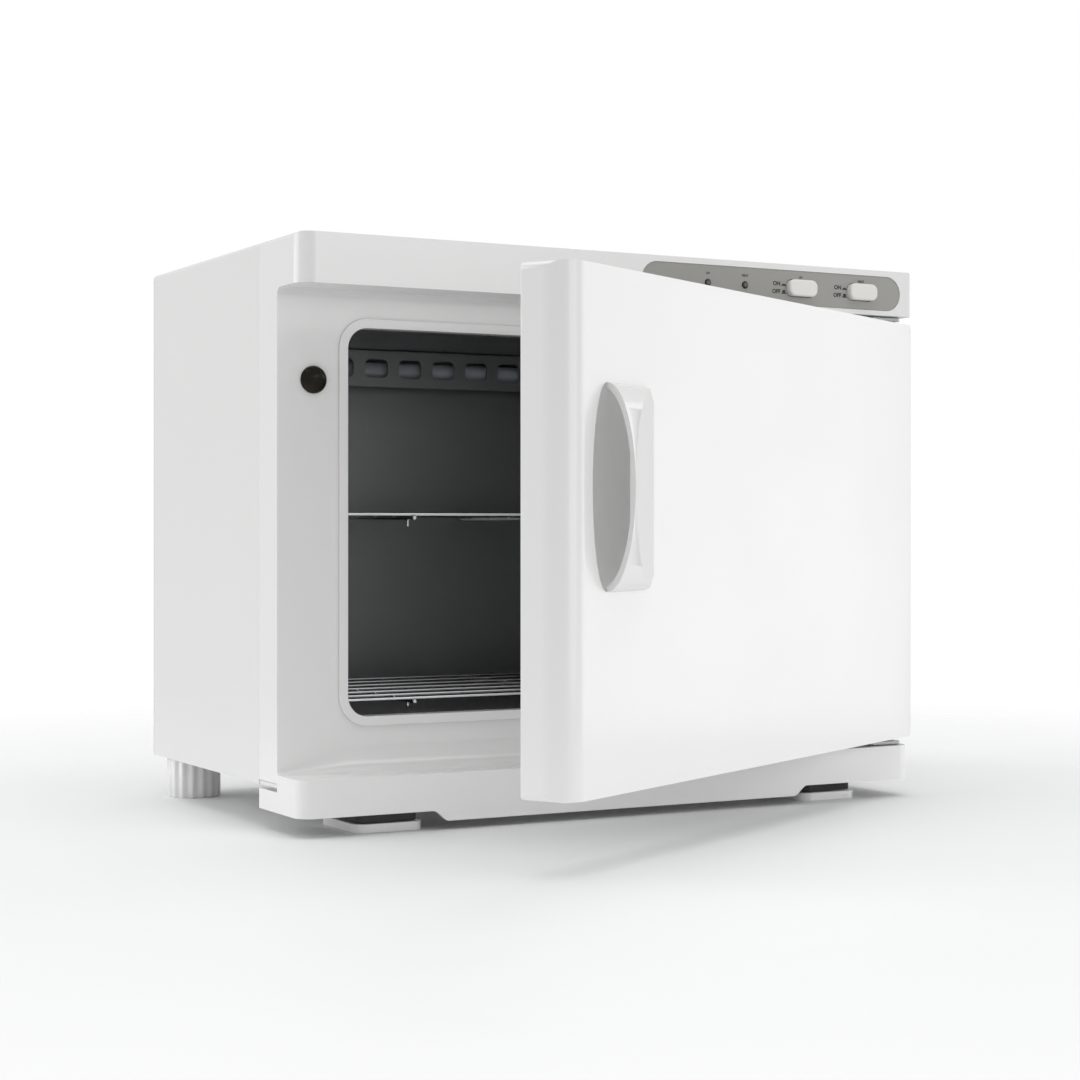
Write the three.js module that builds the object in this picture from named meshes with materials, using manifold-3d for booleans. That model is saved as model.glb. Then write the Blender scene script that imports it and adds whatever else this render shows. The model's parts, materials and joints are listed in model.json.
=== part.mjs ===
// Hot towel cabinet: a countertop warmer with a moulded front frame, a sheet-steel case, an
// aluminium chamber with two wire racks, a side-hinged door and two push buttons.
// Millimetres. Cabinet frame: x across from the middle, y back from the front plane, z up from the
// surface that the feet stand on. The finished group is moved so that its origin lies under the middle
// of its box.
import * as THREE from "three";
import { mergeVertices } from "three/addons/utils/BufferGeometryUtils.js";
import Module from "manifold-3d";

const wasm = await Module();
wasm.setup();

// ---- Driving dimensions ----

// Overall
const WIDTH = 450;
const DEPTH = 264;
const HEIGHT = 358;
const GAP = 0.3; // seam between pieces that meet
const REACH = 10; // how far a cutter runs past what it cuts

// Sheet metal
const SHEET = 1; // wrap, base pan and chamber
const CASE_BOTTOM = 26.6;
const CASE_CORNER = 3; // outside radius of the wrap's two top bends
const CASE_LIP = 12; // inward flanges at the wrap's bottom and back
const BASE_EDGE_HEIGHT = 8;
const BASE_FRONT_TONGUE = 2.3; // thickness of the pan's ends that show under the columns

// Front frame moulding
const FRAME_DEPTH = 65; // front plane to the seam with the wrap
const FRAME_WALL = 3;
const DOOR_SEAT_GAP = 5.8; // back of the shut door to the recess face behind it
const FASCIA_HEIGHT = 30.3;
const FASCIA_LEFT_RADIUS = 11;
const FASCIA_RIGHT_RADIUS = 2;
const TOP_COVE = 5;
const FLOOR_COVE = 16;
const HINGE_COVE = 3; // the cove is smaller where the door's back corner swings past it
const HINGE_COVE_LENGTH = 41;
const SKIRT_TOP = 34.8;
const SKIRT_END_BOTTOM = 12;
const SKIRT_MIDDLE_BOTTOM = 5.5;
const SKIRT_END_LENGTH = 87; // raised stretch at each end, over the front feet
const SKIRT_STEP_LENGTH = 10.5; // the S-curve down to the middle stretch
const SKIRT_RADIUS = 10.5;
const COLUMN_BOTTOM = 29.5;
const RAIL_TOP = 24.4; // top of the side rail under the slot

// Chamber opening, trim and liner
const OPENING_SIDE = 46; // case side to the opening's edge
const OPENING_BOTTOM = 67.8;
const OPENING_TOP_DROP = 52.3; // case top to the opening's top edge
const OPENING_RADIUS = 13;
const TRIM_FLANGE = 5.9;
const TRIM_THICKNESS = 1;
const TRIM_SLEEVE_WALL = 2.2;
const TRIM_SLEEVE_LENGTH = 10;
const TRIM_CLEARANCE = 0.4;
const LINER_CLEARANCE = 1.2; // trim sleeve to chamber wall
const LINER_BACK_SPACE = 20; // chamber back to the case's back, for the wiring
const LINER_FLANGE = 8;
const LINER_RADIUS = 6;

// Racks
const RACK_ABOVE_OPENING = 8.9; // lower rack's cross wires above the opening's bottom edge
const RACK_PITCH = 115.1;
const RACK_SIDE_CLEARANCE = 2.2; // so that the rack passes the opening
const RACK_SET_BACK = 4.5; // end of the trim sleeve to the front cross wire
const RACK_BACK_CLEARANCE = 5;
const CROSS_WIRE_RADIUS = 1;
const CROSS_WIRE_PITCH = 29;
const BEARER_RADIUS = 1.35;
const BEARER_PITCH = 128;
const BEARER_OVERHANG = 2;
const BEARER_TIP_RADIUS = 1.7;
const STOP_LEG_SET_BACK = 10;
const STOP_LEG_LENGTH = 5.6;
const WELD_DEPTH = 0.3;
const LEDGE_WIDTH = 10;
const LEDGE_HEIGHT = 10;

// Heating and lamp
const HEATER_THICKNESS = 4;
const HEATER_MARGIN = 32;
const HEATER_RADIUS = 6;
const THERMOSTAT_RADIUS = 8;
const THERMOSTAT_HEIGHT = 10;
const THERMOSTAT_CUP_RADIUS = 5.6;
const FUSE_LENGTH = 20;
const FUSE_WIDTH = 8;
const FUSE_HEIGHT = 6;
const JACKET_THICKNESS = 12;
const JACKET_CLEARANCE = 0.4;
const LAMP_RADIUS = 7.75;
const LAMP_LENGTH = 212;
const LAMP_CAP_LENGTH = 12;
const LAMP_CAP_STEP = 0.5; // cap radius over the glass
const LAMP_DROP = 15; // chamber roof to the lamp's middle
const LAMP_FROM_BACK = 16;
const HOLDER_LENGTH = 12;
const HOLDER_SOCKET = 5;
const HOLDER_WIDTH = 22;
const GUARD_HEIGHT = 26;
const GUARD_LIP = 3;
const GUARD_CLEARANCE = 1; // guard to the lamp holders behind it
const GUARD_SLOTS = 9;

// Control panel, buttons and lamps
const PANEL_LENGTH = 206.1;
const PANEL_MARGIN = 3.55; // fascia edge to the panel, above and below
const PANEL_RIGHT = 9.6; // case side to the panel's end
const PANEL_THICKNESS = 0.8;
const PANEL_RECESS = 1.4;
const PANEL_LOWERED = 0.35; // panel's middle below the fascia's
const BUTTON_WIDTH = 22.5;
const BUTTON_HEIGHT = 11;
const BUTTON_RADIUS = 4.5;
const BUTTON_PROUD = 4;
const BUTTON_CLEARANCE = 0.4;
const BUTTON_TRAVEL = 3;
const HEAT_BUTTON_FROM_SIDE = 42.4;
const BUTTON_PITCH = 49.6;
const HEAT_LAMP_FROM_SIDE = 136.4;
const INDICATOR_PITCH = 28.9;
const INDICATOR_RADIUS = 2.2;
const INDICATOR_PROUD = 0.8;
const INDICATOR_COLLAR = 1; // width and thickness of the ring behind the fascia wall
const INDICATOR_TAIL = 5;
const SWITCH_WIDTH = 18;
const SWITCH_HEIGHT = 16;
const SWITCH_LENGTH = 19;
const STEM_WIDTH = 8;
const STEM_HEIGHT = 6;
const STEM_LENGTH = 8.5; // behind the fascia wall, buttons out
const BLADE_THICKNESS = 1;
const BLADE_WIDTH = 6;
const BLADE_LENGTH = 7;

// Door
const DOOR_THICKNESS = 30;
const DOOR_WALL = 2.5;
const DOOR_GAP = 5; // door to the fascia above it
const DOOR_FLOOR_GAP = 5.5;
const DOOR_FREE_RADIUS = 16.5; // front corner of the free edge
const DOOR_HINGE_RADIUS = 4.5;
const DOOR_BACK_RADIUS = 4; // lets the hinge corner swing past the recess face
const DOOR_EDGE_RADIUS = 1; // back corner of the free edge
const DOOR_FACE_RADIUS = 4.5;
const DOOR_OPEN_DEGREES = 28.75; // how far the door stands open at rest
const HINGE_FROM_SIDE = 12;
const HINGE_FROM_BACK = 11; // hinge axis to the back of the door
const HINGE_PIN_RADIUS = 3;
const HINGE_PIN_LENGTH = 19;
const BUSH_WALL = 1.7;
const BUSH_LENGTH = 14;
const BUSH_FLANGE = 1.2;
const BUSH_FLANGE_WIDTH = 2;
const BOSS_WALL = 4; // door boss round the bush
const BOSS_INSET = 1; // boss to the door's outer faces
const BRACKET_THICKNESS = 2.2;
const BRACKET_INWARD = 16; // hinge axis to the plate's inner end
const BRACKET_FORWARD = 12; // hinge axis to the plate's front edge
const BRACKET_FROM_SIDE = 3;
const BRACKET_RADIUS = 3;
const DOOR_PANEL_THICKNESS = 2.4;
const DOOR_PANEL_CLEARANCE = 0.8; // raised middle of the inner panel to the trim ring
const DOOR_PANEL_INSET = 7; // raised middle inside the opening's edge
const FOAM_CLEARANCE = 2;
const GASKET_WIDTH = 6;
const GASKET_FROM_TRIM = 2;

// Handle
const HANDLE_FREE_EDGE = 38.4; // door's free edge to the hood's open edge
const HANDLE_REACH = 50; // the hood's slope, down to the door's face
const HANDLE_HALF_HEIGHT = 55.6;
const HANDLE_RISE = 17.5;
const HANDLE_RAISED = 23.3; // above the door's middle
const HANDLE_WALL = 2.5;
const HANDLE_CHAMFER_X = 13;
const HANDLE_CHAMFER_Z = 8;
const POCKET_BULGE = 14.4;
const POCKET_UNDERCUT = 36;
const POCKET_DEPTH = 16;
const POCKET_WALL = 2;

// Magnetic catch
const CATCH_FROM_GASKET = 0.6; // strike plate's edge to the gasket
const CATCH_BELOW_DOOR_TOP = 49.7;
const CATCH_RADIUS = 8.5;
const CATCH_STUD_END = 2; // stud past the back of the recess wall
const CATCH_CLEARANCE = 0.6; // dome to the strike plate, door shut
const STRIKE_RADIUS = 8;
const STRIKE_THICKNESS = 1.5;
const STRIKE_PROUD = 0.2;

// Feet, gland and screws
const FRONT_FOOT_FROM_SIDE = 39;
const FRONT_FOOT_WIDTH = 46.5;
const FRONT_FOOT_LENGTH = 50;
const FRONT_FOOT_SET_BACK = 8;
const FRONT_FOOT_HEIGHT = 5.6;
const FRONT_FOOT_RADIUS = 9;
const FRONT_FOOT_BACK_RADIUS = 1;
const FOOT_PAD_INSET = 3;
const REAR_FOOT_RADIUS = 18;
const REAR_FOOT_FROM_SIDE = 20;
const REAR_FOOT_FROM_BACK = 26;
const REAR_FOOT_FLUTES = 16;
const REAR_FOOT_FLUTE_DEPTH = 1.2;
const FLUTE_SIDES = 4;
const GLAND_RADIUS = 7;
const GLAND_FLANGE_RADIUS = 10;
const GLAND_BORE_RADIUS = 3.6;
const GLAND_FLANGE_THICKNESS = 2.7;
const GLAND_LENGTH = 9; // each way from the panel's face
const GLAND_FROM_SIDE = 60;
const GLAND_HEIGHT = 58;
const SCREW_RADIUS = 1.7;
const SCREW_HEAD_RADIUS = 3.6;
const SCREW_HEAD_HEIGHT = 2;
const SCREW_HEAD_TOP_RADIUS = 2.5;
const SCREW_LENGTH = 8;
const SCREW_CLEARANCE = 0.4;
const VENT_SLOTS = 9;
const VENT_SLOT_WIDTH = 4;
const VENT_SLOT_LENGTH = 34;
const VENT_PITCH = 13;
const VENT_FROM_TOP = 36;

// Wiring beside the chamber
const BAY_CLEARANCE = 2; // each piece to the walls of the side bay
const BALLAST_LENGTH = 62;
const BALLAST_HEIGHT = 24;
const BALLAST_FROM_BACK = 70;
const BALLAST_EAR = 12;
const BALLAST_EAR_THICKNESS = 2;
const STARTER_HEIGHT = 38;
const STARTER_SOCKET_HEIGHT = 8;
const STARTER_SOCKET_STEP = 2;
const STARTER_FROM_BACK = 30;
const TERMINAL_HEIGHT = 14;
const TERMINAL_PITCH = 12;
const TERMINALS = 3;
const TERMINAL_WELL_RADIUS = 2.6;
const TERMINAL_WELL_DEPTH = 8;
const TERMINAL_FROM_BACK = 20;

// ---- What follows from them ----

const HALF = WIDTH / 2;
const RECESS = DOOR_THICKNESS + DOOR_SEAT_GAP;
const FASCIA_BOTTOM = HEIGHT - FASCIA_HEIGHT;
const CASE_BACK = DEPTH - SHEET - GAP; // back edge of the wrap, under the back panel
const FRAME_INNER = HALF - FRAME_WALL;
const FACE_BACK = RECESS + FRAME_WALL;

const OPENING_HALF = HALF - OPENING_SIDE;
const OPENING_TOP = HEIGHT - OPENING_TOP_DROP;
const LINER_GROW = TRIM_SLEEVE_WALL + LINER_CLEARANCE;
const LINER_HALF = OPENING_HALF + LINER_GROW;
const LINER_BOTTOM = OPENING_BOTTOM - LINER_GROW;
const LINER_TOP = OPENING_TOP + LINER_GROW;
const LINER_FRONT = FACE_BACK + GAP;
const LINER_BACK = DEPTH - LINER_BACK_SPACE;

const LOWER_RACK = OPENING_BOTTOM + RACK_ABOVE_OPENING;
const UPPER_RACK = LOWER_RACK + RACK_PITCH;
const TRIM_BACK = RECESS - GAP; // back of the trim's flange
const RACK_FRONT = TRIM_BACK + TRIM_SLEEVE_LENGTH + RACK_SET_BACK;
const RACK_HALF = OPENING_HALF - RACK_SIDE_CLEARANCE;

const PANEL_Z = HEIGHT - FASCIA_HEIGHT / 2 - PANEL_LOWERED;
const BUTTONS = {
  heat: HALF - HEAT_BUTTON_FROM_SIDE,
  uv: HALF - HEAT_BUTTON_FROM_SIDE - BUTTON_PITCH,
};
const INDICATORS = {
  heat: HALF - HEAT_LAMP_FROM_SIDE,
  uv: HALF - HEAT_LAMP_FROM_SIDE - INDICATOR_PITCH,
};
const STEM_END = FRAME_WALL + STEM_LENGTH;
const SWITCH_FRONT = STEM_END + BUTTON_TRAVEL + GAP;

const DOOR_BOTTOM = SKIRT_TOP + DOOR_FLOOR_GAP;
const DOOR_TOP = FASCIA_BOTTOM - DOOR_GAP;
const DOOR_PANEL_BACK = DOOR_THICKNESS - GAP;
const DOOR_PANEL_FRONT = DOOR_PANEL_BACK - DOOR_PANEL_THICKNESS;
const DOOR_PLATEAU = TRIM_BACK - TRIM_THICKNESS - DOOR_PANEL_CLEARANCE;
const HINGE_X = HALF - HINGE_FROM_SIDE;
const HINGE_Y = DOOR_THICKNESS - HINGE_FROM_BACK;
const HANDLE_X = -HALF + HANDLE_FREE_EDGE;
const HANDLE_Z = (DOOR_BOTTOM + DOOR_TOP) / 2 + HANDLE_RAISED;
const GASKET_INNER = TRIM_FLANGE + GASKET_FROM_TRIM;
const CATCH_X = -OPENING_HALF - GASKET_INNER - GASKET_WIDTH - CATCH_FROM_GASKET - STRIKE_RADIUS;
const CATCH_Z = DOOR_TOP - CATCH_BELOW_DOOR_TOP;
const BUSH_BORE = HINGE_PIN_RADIUS + GAP;
const BUSH_RADIUS = BUSH_BORE + BUSH_WALL;
const BOSS_HALF = BUSH_RADIUS + BOSS_WALL;
const STRIKE_BACK = DOOR_THICKNESS + STRIKE_PROUD;
const CATCH_PROUD = RECESS - STRIKE_BACK - CATCH_CLEARANCE;

// ---- Solids ----

const ROUND_END_SHORT = 0.01; // keeps the two arcs of a round end apart
const FINE = 4; // quarter arcs of 8 sides
const COARSE = 2; // quarter arcs of 4 sides

/** A closed manifold solid from a three.js geometry. */
function solid(geometry) {
  const bare = geometry.clone();
  bare.deleteAttribute("normal");
  bare.deleteAttribute("uv");
  const merged = mergeVertices(bare, 1e-4);
  const triangles = [];
  for (let i = 0; i < merged.index.count; i += 3) {
    const [a, b, c] = merged.index.array.slice(i, i + 3);
    if (a !== b && b !== c && c !== a) triangles.push(a, b, c);
  }
  return new wasm.Manifold(
    new wasm.Mesh({
      numProp: 3,
      vertProperties: new Float32Array(merged.attributes.position.array),
      triVerts: new Uint32Array(triangles),
    }),
  );
}

/** Joins a list of solids into one. */
function joined(solids) {
  return solids.reduce((whole, next) => whole.add(next));
}

/** Cuts each solid of a list out of a body. */
function cut(body, cutters) {
  return cutters.reduce((rest, cutter) => rest.subtract(cutter), body);
}

/** A rectangular block between limits along x, y and z. */
function block([x0, x1], [y0, y1], [z0, z1]) {
  const geometry = new THREE.BoxGeometry(x1 - x0, y1 - y0, z1 - z0);
  return solid(geometry.translate((x0 + x1) / 2, (y0 + y1) / 2, (z0 + z1) / 2));
}

/** A front-view outline (x, z) run from y0 to y1. */
function alongY(shape, y0, y1, curveSegments = COARSE) {
  const geometry = new THREE.ExtrudeGeometry(shape, { depth: y1 - y0, bevelEnabled: false, curveSegments });
  return solid(geometry.rotateX(Math.PI / 2).translate(0, y1, 0));
}

/** A plan outline (x, y) run from z0 to z1. */
function alongZ(shape, z0, z1, curveSegments = COARSE) {
  const geometry = new THREE.ExtrudeGeometry(shape, { depth: z1 - z0, bevelEnabled: false, curveSegments });
  return solid(geometry.translate(0, 0, z0));
}

/** A side-view outline (y, z) run from x0 to x1. */
function alongX(shape, x0, x1, curveSegments = COARSE) {
  const geometry = new THREE.ExtrudeGeometry(shape, { depth: x1 - x0, bevelEnabled: false, curveSegments });
  const turn = new THREE.Matrix4().makeBasis(
    new THREE.Vector3(0, 1, 0),
    new THREE.Vector3(0, 0, 1),
    new THREE.Vector3(1, 0, 0),
  );
  return solid(geometry.applyMatrix4(turn).translate(x0, 0, 0));
}

/** A rectangle whose corners, from the lower left and counterclockwise, have their own radii. */
function roundedRectangle([x0, x1], [y0, y1], [lowLeft, lowRight, highRight, highLeft]) {
  const corners = [
    [x0, y0, lowLeft, 1, 1],
    [x1, y0, lowRight, -1, 1],
    [x1, y1, highRight, -1, -1],
    [x0, y1, highLeft, 1, -1],
  ];
  const shape = new THREE.Shape();
  corners.forEach(([x, y, radius, inX, inY], i) => {
    const start = Math.PI + (i * Math.PI) / 2;
    if (radius > 0) {
      shape.absarc(x + inX * radius, y + inY * radius, radius, start, start + Math.PI / 2, false);
    } else if (i === 0) {
      shape.moveTo(x, y);
    } else {
      shape.lineTo(x, y);
    }
  });
  shape.closePath();
  return shape;
}

/** The same rectangle with one radius all round. */
function evenRectangle(xs, ys, radius) {
  return roundedRectangle(xs, ys, [radius, radius, radius, radius]);
}

/** A closed polygon. */
function polygon(points) {
  return new THREE.Shape(points.map(([x, y]) => new THREE.Vector2(x, y)));
}

/** A rod of equal sides between two points that lie on one axis line. */
function rod(from, to, radius, sides = 16) {
  const a = new THREE.Vector3(...from);
  const b = new THREE.Vector3(...to);
  const geometry = new THREE.CylinderGeometry(radius, radius, a.distanceTo(b), sides);
  const along = new THREE.Quaternion().setFromUnitVectors(
    new THREE.Vector3(0, 1, 0),
    b.clone().sub(a).normalize(),
  );
  geometry.applyQuaternion(along);
  return solid(geometry.translate(...a.add(b).multiplyScalar(0.5)));
}

/** A turned piece: [radius, height] pairs from the axis to the axis, its axis pointing along dir. */
function turned(profile, at, dir, sides = 24) {
  const points = profile.map(([radius, height]) => new THREE.Vector2(radius, height));
  const geometry = new THREE.LatheGeometry(points, sides);
  const along = new THREE.Quaternion().setFromUnitVectors(
    new THREE.Vector3(0, 1, 0),
    new THREE.Vector3(...dir),
  );
  geometry.applyQuaternion(along);
  return solid(geometry.translate(...at));
}

/** Profile points of a dome that rises towards -height, from the axis out to its rim. */
function dome(radius, rise, steps, rim = 0) {
  return Array.from({ length: steps + 1 }, (_, i) => {
    const angle = (i / steps) * (Math.PI / 2);
    return [radius * Math.sin(angle), rim - rise * Math.cos(angle)];
  });
}

// ---- Finishes ----

const FINISHES = {
  glossWhite: { color: 0xf1f1f0, roughness: 0.22, metalness: 0 },
  enamelWhite: { color: 0xe8e8e7, roughness: 0.35, metalness: 0 },
  greyOverlay: { color: 0x9c9c97, roughness: 0.5, metalness: 0 },
  buttonWhite: { color: 0xe4e2dc, roughness: 0.35, metalness: 0 },
  darkLens: { color: 0x2b2a28, roughness: 0.2, metalness: 0 },
  darkMagnet: { color: 0x1d1c12, roughness: 0.12, metalness: 0.3 },
  aluminium: { color: 0xb9bcbe, roughness: 0.38, metalness: 1 },
  zincSteel: { color: 0xa9adb0, roughness: 0.4, metalness: 1 },
  chromeWire: { color: 0xd5d7d8, roughness: 0.15, metalness: 1 },
  blackPlastic: { color: 0x1c1d1f, roughness: 0.5, metalness: 0 },
  nylon: { color: 0xd9d8d0, roughness: 0.5, metalness: 0 },
  silicone: { color: 0xdededc, roughness: 0.7, metalness: 0 },
  darkRubber: { color: 0x4c4d4f, roughness: 0.8, metalness: 0 },
  woolFelt: { color: 0xd8d3c4, roughness: 0.95, metalness: 0 },
  foam: { color: 0xf0efe8, roughness: 0.9, metalness: 0 },
  lampGlass: { color: 0xdfe6ee, roughness: 0.05, metalness: 0 },
};

/** Puts a solid into a group as a named mesh with a finish of its own. */
function place(group, name, body, finish) {
  const { vertProperties, triVerts, numProp, numVert } = body.getMesh();
  const positions = new Float32Array(numVert * 3);
  for (let i = 0; i < numVert; i += 1) {
    positions.set(vertProperties.subarray(i * numProp, i * numProp + 3), i * 3);
  }
  const geometry = new THREE.BufferGeometry();
  geometry.setAttribute("position", new THREE.BufferAttribute(positions, 3));
  geometry.setIndex(new THREE.BufferAttribute(new Uint32Array(triVerts), 1));
  geometry.computeVertexNormals();
  const mesh = new THREE.Mesh(geometry, new THREE.MeshStandardMaterial(FINISHES[finish]));
  mesh.name = name;
  group.add(mesh);
}

// ---- Case ----

/** Where the four back panel screws go, as [name, x, z]. */
function backScrews() {
  const inset = CASE_LIP / 2 + SHEET;
  return [-1, 1].flatMap((side) => [
    [`back_screw_top_${side < 0 ? "left" : "right"}`, side * (HALF - inset), HEIGHT - 3 * inset],
    [`back_screw_bottom_${side < 0 ? "left" : "right"}`, side * (HALF - inset), CASE_BOTTOM + 3 * inset],
  ]);
}

/** Holes for the back panel screws, between two depths. */
function backScrewHoles(y0, y1) {
  return backScrews().map(([, x, z]) => rod([x, y0, z], [x, y1, z], SCREW_RADIUS + SCREW_CLEARANCE, 12));
}

/** The rear outline that the wrap and the back panel share. */
function caseOutline(inset = 0) {
  const top = Math.max(CASE_CORNER - inset, 0);
  return roundedRectangle(
    [-HALF + inset, HALF - inset],
    [CASE_BOTTOM + inset, HEIGHT - inset],
    [0, 0, top, top],
  );
}

/** Sheet-steel wrap: top and two sides, with lips along the bottom and round the back. */
function outerCase() {
  const front = FRAME_DEPTH + GAP;
  const shell = alongY(caseOutline(), front, CASE_BACK);
  const inside = alongY(caseOutline(SHEET), front - REACH, CASE_BACK - SHEET);
  const backHole = evenRectangle(
    [-HALF + CASE_LIP, HALF - CASE_LIP],
    [CASE_BOTTOM + CASE_LIP, HEIGHT - CASE_LIP],
    0,
  );
  const bottomHole = block(
    [-HALF + CASE_LIP, HALF - CASE_LIP],
    [front - REACH, CASE_BACK + REACH],
    [CASE_BOTTOM - REACH, CASE_BOTTOM + CASE_LIP + REACH],
  );
  return cut(shell, [
    inside,
    alongY(backHole, CASE_BACK - REACH, CASE_BACK + REACH),
    bottomHole,
    ...backScrewHoles(CASE_BACK - REACH, CASE_BACK + REACH),
  ]);
}

/** Flat back panel with cooling slots and the hole for the cord gland. */
function backPanel() {
  const plate = alongY(caseOutline(), DEPTH - SHEET, DEPTH);
  const slotTop = HEIGHT - VENT_FROM_TOP;
  const slots = Array.from({ length: VENT_SLOTS }, (_, i) => {
    const x = (i - (VENT_SLOTS - 1) / 2) * VENT_PITCH;
    return block(
      [x - VENT_SLOT_WIDTH / 2, x + VENT_SLOT_WIDTH / 2],
      [DEPTH - REACH, DEPTH + REACH],
      [slotTop - VENT_SLOT_LENGTH, slotTop],
    );
  });
  const glandX = HALF - GLAND_FROM_SIDE;
  const glandHole = rod(
    [glandX, DEPTH - REACH, GLAND_HEIGHT],
    [glandX, DEPTH + REACH, GLAND_HEIGHT],
    GLAND_RADIUS + GAP,
    20,
  );
  return cut(plate, [...slots, glandHole, ...backScrewHoles(DEPTH - REACH, DEPTH + REACH)]);
}

/** Shallow sheet tray that the feet and the chamber stand on. */
function basePan() {
  const half = FRAME_INNER - 2 * GAP;
  const bottom = CASE_BOTTOM + SHEET + GAP;
  const front = FACE_BACK + GAP;
  const back = CASE_BACK - SHEET - GAP;
  const tray = block([-half, half], [front, back], [bottom, bottom + BASE_EDGE_HEIGHT]);
  const inside = block(
    [-half + SHEET, half - SHEET],
    [front + SHEET, back - SHEET],
    [bottom + SHEET, bottom + BASE_EDGE_HEIGHT + REACH],
  );
  const tongueTop = COLUMN_BOTTOM - GAP;
  const tongue = (side) => {
    const xs = [side * (half - CASE_LIP), side * (HALF - GAP)].sort((a, b) => a - b);
    return block(xs, [RECESS + GAP, FRAME_DEPTH - GAP], [tongueTop - BASE_FRONT_TONGUE, tongueTop]);
  };
  return tray.subtract(inside).add(tongue(-1)).add(tongue(1));
}

/** Plan outline of the front block of the frame, with its two vertical corners rounded. */
function frontPlan(left, right, inset = 0) {
  return roundedRectangle(
    [-HALF + inset, HALF - inset],
    [inset, FRAME_DEPTH],
    [Math.max(left - inset, 0), Math.max(right - inset, 0), 0, 0],
  );
}

/** Fillet that fills a corner of the recess: (y, z) of the corner, towards the front and up or down. */
function cove(cornerZ, upward, radius, x0, x1) {
  const shape = new THREE.Shape();
  const middleZ = cornerZ + upward * radius;
  const middleY = RECESS - radius;
  shape.moveTo(RECESS + GAP, cornerZ - upward * GAP);
  shape.lineTo(RECESS + GAP, middleZ);
  shape.lineTo(RECESS, middleZ);
  shape.absarc(middleY, middleZ, radius, 0, -upward * (Math.PI / 2), upward > 0);
  shape.lineTo(middleY, cornerZ - upward * GAP);
  shape.closePath();
  return alongX(shape, x0, x1);
}

/** Front view of the skirt: high at both ends, over the feet, and lower along the middle. */
function skirtOutline() {
  const end = HALF - SKIRT_END_LENGTH;
  const half = end - SKIRT_STEP_LENGTH / 2;
  const middle = end - SKIRT_STEP_LENGTH;
  const shape = new THREE.Shape();
  shape.moveTo(-HALF, SKIRT_TOP);
  shape.lineTo(-HALF, SKIRT_END_BOTTOM);
  shape.lineTo(-end, SKIRT_END_BOTTOM);
  shape.bezierCurveTo(-half, SKIRT_END_BOTTOM, -half, SKIRT_MIDDLE_BOTTOM, -middle, SKIRT_MIDDLE_BOTTOM);
  shape.lineTo(middle, SKIRT_MIDDLE_BOTTOM);
  shape.bezierCurveTo(half, SKIRT_MIDDLE_BOTTOM, half, SKIRT_END_BOTTOM, end, SKIRT_END_BOTTOM);
  shape.lineTo(HALF, SKIRT_END_BOTTOM);
  shape.lineTo(HALF, SKIRT_TOP);
  shape.closePath();
  return shape;
}

/** Outline of the chamber opening, grown by a margin. */
function openingOutline(grow = 0) {
  return evenRectangle(
    [-OPENING_HALF - grow, OPENING_HALF + grow],
    [OPENING_BOTTOM - grow, OPENING_TOP + grow],
    OPENING_RADIUS + grow,
  );
}

/** A push button's outline about its middle, grown by a margin. */
function buttonOutline(x, grow = 0) {
  const halfWidth = BUTTON_WIDTH / 2 + grow;
  const halfHeight = BUTTON_HEIGHT / 2 + grow;
  return evenRectangle(
    [x - halfWidth, x + halfWidth],
    [PANEL_Z - halfHeight, PANEL_Z + halfHeight],
    BUTTON_RADIUS + grow,
  );
}

/** Holes for the buttons and indicator lenses through the panel and the fascia. */
function controlHoles() {
  const buttonHoles = Object.values(BUTTONS).map((x) =>
    alongY(buttonOutline(x, BUTTON_CLEARANCE), -REACH, FRAME_WALL + REACH / 2),
  );
  const lensHoles = Object.values(INDICATORS).map((x) =>
    rod([x, -REACH, PANEL_Z], [x, FRAME_WALL + REACH / 2, PANEL_Z], INDICATOR_RADIUS + GAP, 16),
  );
  return [...buttonHoles, ...lensHoles];
}

/** Stadium outline of the grey control panel. */
function panelOutline(inset = 0) {
  const right = HALF - PANEL_RIGHT - inset;
  const left = HALF - PANEL_RIGHT - PANEL_LENGTH + inset;
  const half = FASCIA_HEIGHT / 2 - PANEL_MARGIN - inset;
  return evenRectangle([left, right], [PANEL_Z - half, PANEL_Z + half], half - ROUND_END_SHORT);
}

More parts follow.
